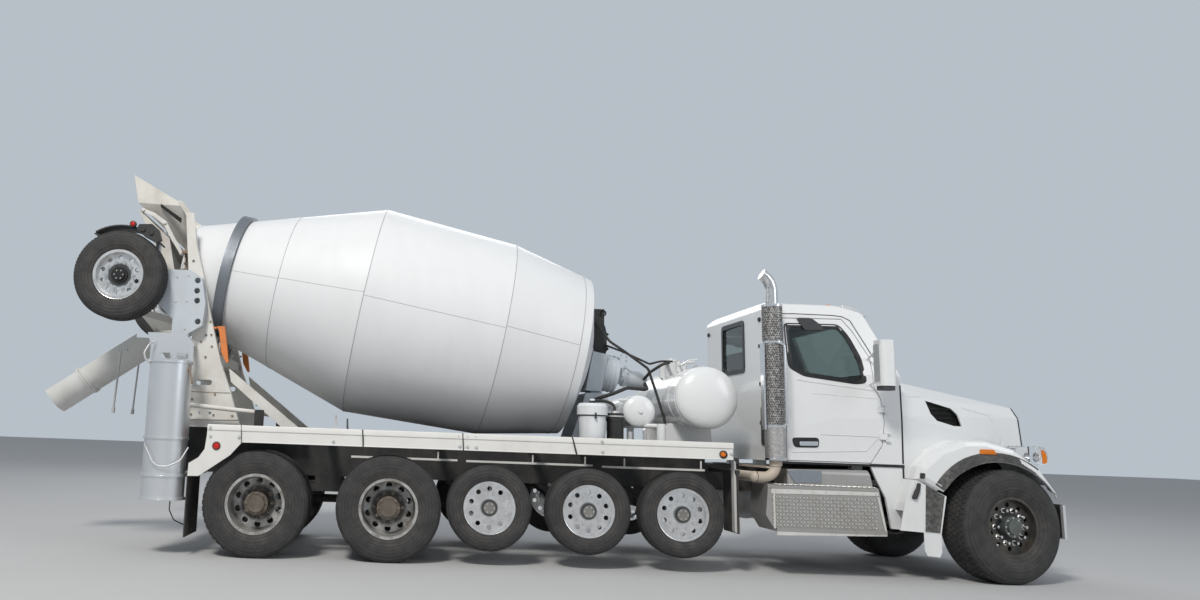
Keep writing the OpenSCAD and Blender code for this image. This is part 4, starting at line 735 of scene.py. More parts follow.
def grown(outline, amount):
    """A convex outline with every edge moved outward by an amount."""
    corners = [Vector(corner) for corner in outline]
    area = sum(a.cross(b) for a, b in zip(corners, corners[1:] + corners[:1]))
    lines = []
    for a, b in zip(corners, corners[1:] + corners[:1]):
        edge = (b - a).normalized()
        lines.append((a + Vector((edge.y, -edge.x)) * math.copysign(amount, area * amount), edge))
    made = []
    for (p, d), (q, e) in zip(lines[-1:] + lines[:-1], lines):
        made.append(tuple(p + d * ((q - p).cross(e) / d.cross(e))))
    return made


def rounded(outline, radius, steps=4):
    """An outline with its corners bent round."""
    made = []
    for i in range(len(outline)):
        corner = Vector(outline[i])
        before = Vector(outline[i - 1]) - corner
        after = Vector(outline[(i + 1) % len(outline)]) - corner
        reach = min(radius, before.length * 0.45, after.length * 0.45)
        start = corner + before.normalized() * reach
        end = corner + after.normalized() * reach
        for t in (step / steps for step in range(steps + 1)):
            made.append(tuple(start * (1 - t) ** 2 + corner * 2 * t * (1 - t) + end * t * t))
    return made


print("skin helpers ready")

# %% [markdown]
# The drum's shell is rolled from flat plates, and the welds between them are what the eye follows: rings
# where two cones meet, and one line along each cone. They are thin raised beads in the drum's slanting frame.

# %% Weld seams and blades of the drum
TILT = math.radians(10.5)
drum_frame = Matrix.Translation(place(1000, 0, 2685)) @ Matrix((
    (math.sin(TILT), 0, -math.cos(TILT)), (0, 1, 0), (math.cos(TILT), 0, math.sin(TILT)))).to_4x4()
# The shell's section: distance along the axle, forward of the widest place, and radius
DRUM = [(-2622, 190), (-2590, 420), (-2446, 913), (-1525, 1120), (0, 1200), (1074, 865), (2090, 550)]


def drum_radius(u):
    for (a, r), (b, s) in zip(DRUM, DRUM[1:]):
        if a <= u <= b:
            return r + (s - r) * (u - a) / (b - a)


def drum_corner(bm, u, rise, degrees, base):
    """A corner on the drum: along its axis, above the radius of the shell at the base, and round it."""
    angle = math.radians(degrees)
    radius = mm(drum_radius(base) + rise)
    return bm.verts.new(drum_frame @ Vector((radius * math.cos(angle), radius * math.sin(angle), mm(u))))


bm = bmesh.new()
for u in (-2350, -1525, 0, 955):
    r = drum_radius(u)
    add_turned(bm, [(r - 8, u - 8), (r + 3, u - 3), (r + 3, u + 3), (r - 8, u + 8)], drum_frame, 128)
for low, high, degrees in ((-2350, -1525, 89), (-1525, 0, 90), (0, 955, 88.5), (955, 1500, 89)):
    for half_turn in (0, 180):
        bridge(bm, [[
            drum_corner(bm, u, rise, half_turn - degrees + shift * math.degrees(7 / drum_radius(u)), u)
            for rise, shift in ((-6, -1), (3, 0), (-6, 1))] for u in (low, high)])
put("drum_seams", bm, "seam_paint", body="drum", smooth=30)
bm = bmesh.new()
for start in (0, 180):
    bridge(bm, [[
        drum_corner(bm, u + back, -depth, degrees, u)
        for back, depth in ((0, 14), (-30, 190), (-22, 190), (8, 14))]
        for u, degrees in ((1500 + step * 31, start + step * 16) for step in range(19))])
put("drum_blades", bm, "ring_steel", body="drum", smooth=50)
print("seams and blades on the drum")

# %% [markdown]
# The deck rails run the length of the drum. Each is a folded channel with a raised top band, slanting joints,
# bolts at the joints and round lamps at its ends: red at the gusset over the drive wheels, amber in front.

# %% Deck rails
RAIL = 1255
RAIL_BAND = [(RAIL - 3, 1302), (RAIL + 6, 1300), (RAIL + 9, 1292), (RAIL + 9, 1246), (RAIL - 3, 1238)]
RAIL_EDGE = [(RAIL - 3, 1130), (RAIL + 5, 1131), (RAIL + 5, 1138), (RAIL - 3, 1142)]
RAIL_JOINTS = (
    [(1046, 1302), (1058, 1302), (1066, 1215), (1070, 1129), (1058, 1129), (1052, 1215)],
    [(2057, 1303), (2067, 1303), (2079, 1129), (2069, 1129)],
    [(3163, 1303), (3177, 1303), (3224, 1129), (3208, 1129)],
    [(-172, 1303), (-166, 1303), (-156, 1129), (-162, 1129)])
BOLTS_LOW = [(-472, 1182), (-187, 1182), (764, 1170), (2036, 1169), (2115, 1167), (2203, 1165), (3478, 1166),
             (4781, 1190)]
BOLTS_ON_BAND = [(-478, 1268), (3472, 1267)]
RAIL_SCREWS = [(2022, 1272), (2112, 1272), (2196, 1272)]
bands, joints, bolts, posts, tails, rings = (bmesh.new() for _ in range(6))
for side, name in BOTH:
    for outline, start in ((RAIL_BAND, -508), (RAIL_EDGE, -100)):
        add_prism(bands, [(side * y, z) for y, z in outline], "x", start, 4803)
    for outline in RAIL_JOINTS:
        add_plate(joints, outline, side, RAIL - 6, RAIL + 10.5)
    for spots, face in ((BOLTS_LOW, RAIL), (BOLTS_ON_BAND, RAIL + 9)):
        add_studs(bolts, spots, side, face - 1, 17, 15, 9)
        add_studs(bolts, spots, side, face + 7, 10, 9, 8, 6)
    add_studs(bolts, RAIL_SCREWS, side, RAIL + 8, 8, 6, 6, 8)
    for kind, x, z, back, size in (("amber", 4700, 1182, RAIL - 2, 32), ("red", -408, 1088, RAIL - 3, 33)):
        bm = bmesh.new()
        add_turned(bm, [(size + 1, 0), (size + 9, 0), (size + 8, 10), (size + 1, 11)],
                   along(place(x, side * back, z), (0, side, 0)), 40)
        put(f"rail_{kind}_ring_{name}", bm, "black_paint")
        bm = bmesh.new()
        add_studs(bm, [(x, z)], side, back, size, size - 3, 12, 40)
        add_studs(bm, [(x, z)], side, back + 12, size - 3, size * 0.5, 5, 40)
        put(f"rail_{kind}_lens_{name}", bm, f"{kind}_glass", smooth=60)
    # A thin pale bar hangs under the outriggers
    bar = bmesh.new()
    for low, high, z in ((924, 2057, 1004), (2150, 3500, 1000), (3600, 4700, 992)):
        add_box(bar, (low, high), (side * 700, side * 710), (z, z + 22))
    for x in (1850, 2860, 3420, 3840, 4660):
        add_box(bar, (x - 8, x + 8), (side * 700, side * 712), (1010, 1100))
    put(f"under_bar_{name}", bar, "rail_paint", 1)
    # A short post on the rail, and the tail lamps on the frame's rear end
    add_plate(posts, [(766, 1296), (794, 1296), (782, 1442), (762, 1442)], side, 1200, 1212)
    add_studs(posts, [(774, 1425)], side, 1196, 7, 7, 24, 8)
    for y in (1010, 1110):
        add_pin(rings, (-497, side * y, 1212), (-1, 0, 0), 44, 42, 16, 32)
        add_pin(tails, (-510, side * y, 1212), (-1, 0, 0), 37, 22, 12, 32)
put("rail_posts", posts, "pale_steel", 1)
put("tail_lamp_rings", rings, "black_paint")
put("tail_lamps", tails, "red_glass", smooth=60)
put("rail_bands", bands, "rail_paint", 2)
put("rail_joints", joints, "black_paint")
put("rail_bolts", bolts, "pale_steel")
print("rails with", 2 * len(BOLTS_LOW + BOLTS_ON_BAND), "bolts and 4 lamps")

# %% [markdown]
# The rear end is where the work happens. Its steel is dusty, with small things bolted all over: the orange
# pad ahead of the tower, a near-black plate painted as the shade in the hopper's slot, the hopper's lift
# links, rods on the chute, and wire handles.

# %% Rear end
TOWER_BOLTS = [(-640, 2257), (-627, 2131), (-687, 2015), (-745, 2180), (-660, 2400), (-330, 1560),
               (-360, 1400), (-800, 1400), (-800, 1560), (-560, 1400), (-560, 1620), (-560, 2150)]
LINK_PINS = [(-1525, 3650), (-1275, 3510), (-1070, 3172)]
HOPPER_BACK = [(-1584, 3658), (-1379, 3269), (-1234, 3000)]
REAR_PLATES = {
    # gathered piece: outline, inner and outer distance from the middle
    "pads": [
        ([(-587, 2352), (-502, 2356), (-452, 2065), (-438, 1962), (-462, 1962), (-521, 2063), (-560, 2300)],
         690, 742),
        ([(-585, 2325), (-655, 2325), (-655, 2345), (-585, 2345)], 712, 730)],
    "tower": [
        ([(-815, 1636), (-398, 1636), (-398, 1643), (-815, 1643)], 734, 739),
        ([(-793, 1339), (-285, 1352), (-285, 1359), (-793, 1346)], 734, 739)],
    # A near-black plate painted as the shade inside the hopper's slot
    "slots": [([(-1347, 3737), (-1103, 3578), (-1108, 3525), (-1344, 3700)], 530, 544)],
    "links": [
        ([(-1535, 3672), (-1400, 3625), (-1262, 3530), (-1165, 3360), (-1045, 3175), (-1080, 3155),
          (-1195, 3325), (-1290, 3490), (-1420, 3585), (-1540, 3630)], 556, 568)],
    "plates": [
        ([(-1584, 3658), (-1500, 3590), (-1220, 3345), (-1135, 2975), (-1234, 3000), (-1379, 3269)],
         541, 549)],
    "rods": [],
}
rear = {name: bmesh.new() for name in REAR_PLATES}
for side, _ in BOTH:
    for name, plates in REAR_PLATES.items():
        for outline, inner, outer in plates:
            add_plate(rear[name], outline, side, inner, outer)
    add_studs(rear["tower"], TOWER_BOLTS, side, 733, 13, 12, 12, 6)
    add_studs(rear["links"], LINK_PINS, side, 530, 22, 22, 44, 16)
    add_studs(rear["links"], LINK_PINS, side, 572, 15, 14, 14, 6)
    # Threaded rod and clevises beside the tower's rear edge
    add_pin(rear["tower"], (-1000, side * 600, 2960), UP, 13, 13, 300)
    for z in (2975, 3040, 3120, 3200):
        add_pin(rear["tower"], (-1000, side * 600, z), UP, 26, 26, 24, 6)
    for z in ((2940, 2972), (3150, 3180)):
        add_box(rear["tower"], (-1030, -960), (side * 585, side * 725), z)
    for z, radius, height, sides in ((1400, 11, 700, 16), (1390, 20, 60, 10)):
        add_pin(rear["rods"], (-1742, side * 372, z), (0.05, 0, 1), radius, radius, height, sides)
    add_box(rear["rods"], (-1740, -1640), (side * 330, side * 385), (2080, 2110))
for (a, b), (c, d) in zip(HOPPER_BACK, HOPPER_BACK[1:]):
    add_plate(rear["plates"], [(a, b), (a + 10, b + 6), (c + 10, d + 6), (c, d)], 1, -548, 548)
put("orange_pads", rear["pads"], "orange_paint", 4)
put("tower_fittings", rear["tower"], "rusty_steel")
put("hopper_slot_shades", rear["slots"], "opening_shade_black", body="hopper")
put("hopper_links", rear["links"], "tower_paint", 3, "hopper")
put("hopper_rear_plates", rear["plates"], "hopper_paint", 1, "hopper")
put("chute_rods", rear["rods"], "pale_steel", 2, "main_chute")
SPARE_CHUTE_WIRES = {
    # name: points, radius, bend radius, finish, sides, slot
    "bail": ([(-1120, -1290, 1085), (-1079, -1365, 1044), (-1001, -1395, 912), (-940, -1398, 873),
              (-852, -1392, 873), (-740, -1350, 930), (-690, -1250, 1060)], 8, 60, "pale_steel", 12, None),
    "handle": ([(-1120, -1240, 1890), (-1180, -1262, 1926), (-1203, -1262, 1996), (-1170, -1210, 2090),
                (-1140, -1130, 2125)], 9, 30, "pale_steel", 12, None),
    "chain": ([(-760, -1210, 1930), (-735, -1240, 1850), (-712, -1235, 1760), (-700, -1225, 1700)], 12, 20,
              "rusty_steel", 6, "pale_steel"),
    "wire": ([(-880, -1050, 560), (-882, -1050, 428), (-835, -1040, 331), (-741, -1030, 285),
              (-690, -1000, 300)], 6, 40, "black_paint", 12, None),
}
for name, (points, radius, bend_radius, finish, sides, slot) in SPARE_CHUTE_WIRES.items():
    tube_along(f"spare_chute_{name}", points, radius, finish, bend_radius, sides=sides)
bm = bmesh.new()
add_plate(bm, [(-803, 2190), (-727, 2121), (-723, 1917), (-774, 1925), (-774, 2058)], -1, 1165, 1155)
for z in (545, 775):
    add_turned(bm, [(214, -6), (231, -6), (231, 10), (214, 10)], along(place(-940, -1150, z), UP), 48)
put("spare_chute_edges", bm, "galvanised", 1)
print("rear end dressed")

# %% [markdown]
# The booster wheel hangs from its arms with a dark quarter fender over it. On the fender sit a red marker
# lamp and a small cluster of lamps, and bolt heads show on the arm's blue-grey plates.

# %% Booster fittings
lamps, reds, heads, liners = (bmesh.new() for _ in range(4))
LAMP_BOX = [(-1400, 3290), (-1375, 3345), (-1240, 3352), (-1165, 3290), (-1130, 3185), (-1180, 3150),
            (-1310, 3215)]
ARM_BOLTS = [(-900, 2880), (-1020, 2860), (-1120, 2840), (-900, 2600), (-1020, 2590), (-900, 2300),
             (-1050, 2420)]
outer, inner = (arc(-1560, 2810, radius, range(44, 127, 6)) for radius in (534, 516))
liner = outer + inner[::-1]
for side, _ in BOTH:
    add_plate(lamps, LAMP_BOX, side, 1150, 1205)
    add_studs(lamps, [(-1442, 3345)], side, 1165, 34, 34, 38, 32)
    add_studs(lamps, [(-1330, 3290)], side, 1205, 32, 28, 14, 24)
    add_studs(lamps, [(-1240, 3255)], side, 1205, 26, 24, 14, 24)
    add_studs(reds, [(-1442, 3345)], side, 1203, 27, 18, 12, 32)
    add_studs(heads, ARM_BOLTS, side, 864, 12, 11, 10, 6)
    add_plate(liners, liner, side, 847, 1153)
put("booster_lamps", lamps, "black_paint", 3, "booster_arm")
put("booster_fenders", liners, "black_paint", 2, "booster_arm", 30)
put("booster_red_lamps", reds, "red_glass", 2, "booster_arm")
put("booster_bolts", heads, "pale_steel", body="booster_arm")
print("booster fittings on both sides")

# %% [markdown]
# Between the drum and the cab stand the gearbox, its motor, the cooler and the two tanks. Bolt rings mark the
# castings, bands hold the tanks, and black hoses hang between them in slack curves.

# %% Gearbox, tanks and hoses
ring_of("gearbox_bolts", drum_frame, -3045, "grey_paint", 20, 190, 11, 10, 14, 4, 16)
ring_of("motor_bolts", along(place(4257, 0, 1986), (1, 0, -0.18)), 0, "grey_paint", 6, 70, 11, 10, 14, 4, 16)
HOSES = (
    # radius, then the places it passes
    (15, [(3745, 310, 2690), (3790, 120, 2560), (3800, -230, 2400), (3960, -260, 2290), (4221, -280, 2103),
          (4300, -300, 1850), (4377, -350, 1552), (4400, -360, 1420)]),
    (12, [(3873, 330, 2420), (3980, -120, 2300), (4221, -340, 2150), (4320, -420, 2180), (4479, -330, 2190)]),
    (17, [(4215, -130, 1990), (4235, -300, 2060), (4348, -420, 2150), (4430, -380, 2170),
          (4475, -120, 2190)]),
    (20, [(3560, -330, 1700), (3620, -420, 1740), (3771, -500, 1795), (3927, -500, 1865), (4136, -420, 1858),
          (4230, -200, 1880), (4240, -80, 1940)]),
    (16, [(3700, -850, 1585), (3700, -850, 1660), (3620, -760, 1700), (3480, -800, 1700),
          (3440, -860, 1672)]))
for number, (radius, points) in enumerate(HOSES):
    tube_along(f"hose_{number}", points, radius, "flap_rubber", 70, sides=10)
bands, fittings = bmesh.new(), bmesh.new()
for y, width in ((-806, 7), (-560, 24), (380, 24), (666, 7)):
    add_hoop(bands, 330, 336, y - width, y + width, along(place(4683, 0, 1768), ACROSS), 64)
for y in (-560, 560):
    add_hoop(bands, 170, 175, y - 20, y + 20, along(place(3985, 0, 1600), ACROSS))
put("tank_bands", bands, "white_paint")
# Filler and valves on top of the water tank, and the drain at the air tank's end
for pin in (
        ((4533, -120, 2203), UP, 78, 74, 22, 24), ((4533, -120, 2225), UP, 20, 18, 22, 8),
        ((4473, 0, 2168), UP, 30, 30, 40, 8), ((4560, -300, 2075), UP, 26, 26, 120, 12),
        ((4560, -300, 2150), (0.3, -1, 0), 22, 20, 90, 12), ((4650, -220, 2090), UP, 30, 30, 110, 12),
        ((4650, -220, 2190), (1, 0, 0.1), 16, 14, 120, 10), ((4740, -320, 2080), UP, 24, 24, 80, 12),
        ((3985, -815, 1600), (0, -1, 0), 22, 22, 12, 8)):
    add_pin(fittings, *pin)
put("tank_fittings", fittings, "white_paint", 2)
tube_along("valve_handle", [(4560, -390, 2150), (4640, -410, 2200), (4740, -400, 2215)], 9, "white_paint")
CANISTER = (3440, -950)
bm = bmesh.new()
add_hoop(bm, 139, 146, 1528, 1541, along(place(*CANISTER, 0), UP))
add_box(bm, (3432, 3448), (-1120, -1095), (1500, 1560))
put("canister_strap", bm, "black_paint")
bm = bmesh.new()
add_pin(bm, (*CANISTER, 1690), UP, 30, 26, 18, 8)
for x, y in arc(*CANISTER, 150, (20, 110, 200, 290)):
    add_box(bm, (x - 9, x + 9), (y - 9, y + 9), (1560, 1640))
put("canister_clips", bm, "canister_paint", 3)
# Cooler: fan ring in front, fins behind, and the small wheel on top
FAN, FAN_BLADES = (550, 2465), 7
bm = bmesh.new()
add_turned(bm, [(225, 0), (245, 0), (240, 34), (228, 34)], along(place(3860, *FAN), (1, 0, 0)), 48)
angles = [360 * blade / FAN_BLADES for blade in range(FAN_BLADES)]
for foot, outward in zip(arc(*FAN, 60, angles), arc(0, 0, 1, angles)):
    add_pin(bm, (3872, *foot), (0.12, *outward), 22, 46, 150, 4)
add_pin(bm, (3862, *FAN), (1, 0, 0), 60, 50, 40, 24)
for z in range(2110, 2830, 24):
    add_box(bm, (3690, 3702), (320, 780), (z, z + 7))
for y in (305, 795):
    add_box(bm, (3688, 3704), (y - 9, y + 9), (2082, 2848))
add_hoop(bm, 22, 38, -14, 14, along(place(3845, 300, 2800), ACROSS), 32)
add_box(bm, (3790, 3850), (286, 304), (2780, 2835))
put("cooler_details", bm, "black_paint", 1)
bm = bmesh.new()
for z in (1285, 1530):
    add_hoop(bm, 86, 99, z, z + 14, along(place(3705, -850, 0), UP), 40)
for at, low, top, height in (((3705, -850, 1570), 40, 34, 24), ((3860, -860, 1270), 26, 26, 110),
                             ((4040, -900, 1270), 20, 20, 90)):
    add_pin(bm, at, UP, low, top, height, 12)
add_box(bm, (3800, 3920), (-900, -820), (1270, 1292))
put("deck_fittings", bm, "pale_steel", 1)
print("gearbox, tanks, cooler and", len(HOSES), "hoses")

# %% [markdown]
# The cab is read from its lines: black seals round the glass, the drip line over the door, the crease panel
# low on the door with its recessed handle, its crease lines drawn greyer as painted shade, and dark strips
# below painted as the shade in the gap under the cab. All of them follow the imported cab's skin.

# %% Cab lines and seals
WINDOW = [(5500, 2120), (5500, 2570), (6060, 2575), (6150, 2455), (6245, 2235), (6280, 1990), (6190, 1975),
          (5640, 2040)]
DOOR_LINES = {
    # name: path on the door's skin, radius
    "crease": ([(5560, 1985), (5701, 1965), (6378, 1895)], 8),
    "panel": ([(5790, 1424), (6388, 1420), (6390, 1405), (6262, 1268), (5500, 1232)], 8),
    "belt": ([(5716, 1846), (6410, 1813)], 6),
}
HANDLE = rounded([(5490, 1381), (5778, 1389), (5775, 1287), (5515, 1280)], 40)
GRIP = rounded([(5562, 1343), (5762, 1349), (5760, 1303), (5566, 1298)], 24)
VISOR = rounded([(5618, 2650), (5775, 2652), (5890, 2570), (5900, 2522), (5700, 2516)], 30)
CAB_LINES = {
    "drip": [(5345, 2684), (5599, 2696), (6020, 2692), (6120, 2682)],
    "pillar": [(6120, 2682), (6200, 2640), (6300, 2440), (6395, 2250)],
}
MIRROR_FOOT = [(6262, 1282), (6262, 1440), (6370, 1440), (6398, 1405), (6398, 1282)]
MIRROR_FACE = [(1292, 1965), (1405, 1965), (1405, 2350), (1292, 2350)]
for side, name in BOTH:
    door = f"door_{name}"
    # Rubber frame round the window, on the door's skin
    bm = bmesh.new()
    outer, inner = (rounded(grown(WINDOW, amount), 55) for amount in (22, -26))
    base = [skin(door, *spot, side)[1] for spot in outer]
    bridge(bm, zip(*[
        [bm.verts.new(place(x, y + side * gap, z)) for (x, z), y in zip(edge, base)]
        for edge, gap in ((outer, 2.5), (inner, 2.5), (inner, -8), (outer, -8))]), closed=True)
    put(f"window_seal_{name}", bm, "seal_rubber", body=door, smooth=30)
    # Crease lines drawn greyer than the door's paint, as painted shade along each crease
    for line, (points, radius) in DOOR_LINES.items():
        line_on(f"door_{line}_{name}", door, points, side, radius, "crease_shade_white", door, -3)
    flat = abs(skin(door, 5640, 1335, side)[1])
    bm = bmesh.new()
    add_plate(bm, HANDLE, side, flat - 4, flat + 3)
    put(f"handle_recess_{name}", bm, "seal_rubber", 1, door)
    bm = bmesh.new()
    add_plate(bm, GRIP, side, flat + 2, flat + 20)
    add_box(bm, (5690, 5750), (side * flat, side * (flat + 14)), (1312, 1338))
    put(f"handle_grip_{name}", bm, "chrome", 4, door)
    flat = abs(skin(door, 5700, 2600, side)[1])
    bm = bmesh.new()
    add_plate(bm, VISOR, side, flat - 4, flat + 20)
    put(f"visor_piece_{name}", bm, "inside_plastic", 3, door)
    for line, points in CAB_LINES.items():
        line_on(f"{line}_line_{name}", "cab_shell", points, side, 5, "seal_rubber")
    # Dark strips painted as the shade in the gap under the cab
    bm = bmesh.new()
    add_box(bm, (5315, 6655), (side * 1020, side * 1050), (1112, 1134))
    add_box(bm, (6300, 6655), (side * 1038, side * 1047), (1126, 1140))
    put(f"cab_gap_shade_{name}", bm, "seal_rubber")
    # Mirror: dark foot, and the glass that looks back
    bm = bmesh.new()
    add_prism(bm, rounded([(x, side * y) for x, y in MIRROR_FOOT], 30), "z", 1882, 1927)
    put(f"mirror_base_{name}", bm, "inside_plastic", 4, door)
    bm = bmesh.new()
    add_prism(bm, rounded([(side * y, z) for y, z in MIRROR_FACE], 25), "x", 6247, 6253)
    put(f"mirror_glass_{name}", bm, "mirror_glass", body=door)
# Grab rail, clamps and holes on the exhaust's shield, and the strip behind it
tube_along("grab_rail", [
    (5300, -1222, 2345), (5352, -1250, 2325), (5358, -1252, 1505), (5300, -1222, 1480)], 13, "chrome", 40)
tube_along("grab_rail_post", [(5350, -1250, 1860), (5310, -1215, 1865)], 9, "chrome")
STACK = (5285, -1125)
bm = bmesh.new()
for z in (1142, 1470, 2340, 2725):
    add_hoop(bm, 99, 106, z, z + 24, along(place(*STACK, 0), UP))
add_box(bm, (5166, 5184), (-1165, -1085), (1450, 2345))
for z in (1500, 1900, 2300):
    add_box(bm, (5166, 5290), (-1045, -1030), (z, z + 40))
put("stack_clamps", bm, "chrome", 1)
grow("shield_holes", tread_tree, {
    "Count": 26, "Rows": 50, "Radius": 0.0995, "Row Pitch": 0.0244, "Block": (0.003, 0.012, 0.012),
    "Stagger": 0.0122}, along(place(*STACK, 2110), UP), "engine_iron")
# Roof: two pods, and the amber lamps
POD = [(6190, 2760), (6200, 2838), (6330, 2820), (6470, 2720), (6380, 2690)]
pods, ambers, bm = (bmesh.new() for _ in range(3))
for y in (-740, 740):
    add_prism(pods, POD, "y", y - 50, y + 50)
for y, z in ((-700, 2780), (-350, 2806), (0, 2806), (350, 2806), (700, 2780)):
    add_pin(ambers, (6085, y, z), (0.1, 0, 1), 36, 28, 62, 20)
put("roof_pods", pods, "pale_steel", 12)
put("roof_lamps", ambers, "amber_glass", 6)
for y in (-780, 780):
    add_pin(bm, (5302, y, 2640), (-1, 0, 0), 26, 22, 22, 16)
add_prism(bm, rounded([(-880, 1290), (-760, 1290), (-760, 1700), (-880, 1700)], 35), "x", 5291, 5299)
put("rear_wall_pieces", bm, "black_paint", 2)
bm = bmesh.new()
outer = rounded([(-345, 2090), (345, 2090), (345, 2690), (-345, 2690)], 60)
inner = rounded([(-300, 2140), (300, 2140), (300, 2640), (-300, 2640)], 45)
bridge(bm, zip(*[
    [bm.verts.new(place(x, y, z)) for y, z in outline]
    for outline, x in ((outer, 5290), (inner, 5290), (inner, 5310), (outer, 5310))]), closed=True)
put("rear_window_seal", bm, "seal_rubber")
print("cab lines, seals, mirrors and exhaust")

# %% [markdown]
# The step box is faced with chequer plate between two folded lips. The same plate lies on its tread and on
# the fuel tank's steps on the left, where straps hold the tank.

# %% Step box and fuel tank
CHEQUERS = {
    # name: columns, rows, pitch, lozenge, middle of the grid, turn about X
    "chequer_front": (31, 9, 0.0345, (0.040, 0.016, 0.008), (5728, -1217, 642), math.pi / 2),
    "chequer_top": (38, 3, 0.0268, (0.030, 0.011, 0.004), (5745, -1178, 906), 0),
    "chequer_left": (26, 5, 0.0268, (0.030, 0.011, 0.004), (5775, 1080, 1061), 0),
}
for name, (columns, rows, pitch, lozenge, middle, tip) in CHEQUERS.items():
    grow(name, plate_tree, {"Columns": columns, "Rows": rows, "Pitch": pitch, "Lozenge": lozenge},
         Matrix.Translation(place(*middle)) @ Matrix.Rotation(tip, 4, "X"), "plate_steel")
lips, screws, patches, straps = (bmesh.new() for _ in range(4))
add_plate(lips, [(5192, 812), (6279, 824), (6279, 868), (5192, 868)], -1, 1222, 1205)
add_box(lips, (5210, 5228), (-1226, -1200), (470, 812))
add_plate(lips, [(6266, 812), (6282, 812), (6350, 470), (6330, 470)], -1, 1226, 1200)
add_plate(lips, [(5235, 404), (6345, 430), (6345, 447), (5235, 447)], -1, 1232, 1190)
put("step_lips", lips, "lip_paint", 2)
add_studs(screws, [(5235 + i * 127, 842) for i in range(9)], -1, 1221, 8, 6, 5, 8)
add_studs(screws, [(6215, 985), (5420, 1000)], -1, 1141, 8, 6, 5, 8)
for x in (5560, 5640, 5720, 6090, 6170):
    add_pin(screws, (x, -1150, 445), (0, 0, -1), 9, 9, 32, 6)
put("step_screws", screws, "pale_steel")
add_plate(patches, [(5505, 1052), (5742, 1055), (5742, 930), (5505, 930)], -1, 1150, 1139)
add_plate(patches, [(5390, 1045), (5505, 1050), (5505, 920), (5470, 920)], -1, 1150, 1139)
put("step_patch", patches, "patch_paint", 1)
for x in (5390, 5750, 6090):
    add_hoop(straps, 299, 306, x - 26, x + 26, along(place(0, 900, 700), (1, 0, 0)), 64)
add_pin(straps, (5560, 960, 985), (0, 0.25, 1), 58, 54, 34, 24)
put("fuel_tank_straps", straps, "pale_steel", 1)
print("step box with", len(CHEQUERS), "chequer plates")

# %% [markdown]
# The hood has one strong mark, the speckled grey flare round each wheel arch. With it go a black vent with a
# mesh, its near-black backing painted as the shade inside it, a crease that runs back from the headlamp, drawn
# greyer as painted shade, an amber lamp, rubber latches, and a clear headlamp pod.

# %% Hood and fenders
ARCH, ARCH_RADIUS = (7530, 530), 675
FLARE = range(33, 148, 6)
SPLASH_BAND = [(6780, 950), (6965, 846), (6900, 478), (6752, 486)]
PALE_FLAP = [(4838, 1118), (4858, 1118), (4895, 410), (4850, 405), (4838, 430)]
VENT_FRONT, VENT_REAR, VENT_DEPTH = 7455, 6985, 85
VENT = [(6985, 1835), (7345, 1765), (7420, 1695), (7455, 1550), (7320, 1550), (7095, 1600), (7020, 1680)]
LAMP_AMBER = [(8128, 1200), (8172, 1212), (8172, 1300), (8140, 1345), (8118, 1345)]
HOOD_CREASES = {"rear": [(6800, 1848), (6970, 1860)],
                "front": [(7470, 1766), (7840, 1692), (7885, 1600), (7895, 1500)]}
ON_HOOD = {
    # name: outline, corner radius, spot that gives the skin, depth under it and over it, finish
    "fender_lamp": ([(7343, 1328), (7480, 1328), (7512, 1280), (7340, 1278)], 10, (7425, 1300), 6, 14,
                    "amber_glass"),
    "latch_top": ([(6722, 1070), (6765, 1066), (6752, 1010), (6718, 1012)], 12, (6760, 1060), 8, 22,
                  "flap_rubber"),
}
LATCH_FOOT = [([(6690, 968), (6722, 964), (6712, 900), (6672, 905)], 10, 1214),
              ([(6668, 912), (6712, 905), (6668, 800), (6624, 812)], 16, 1222)]
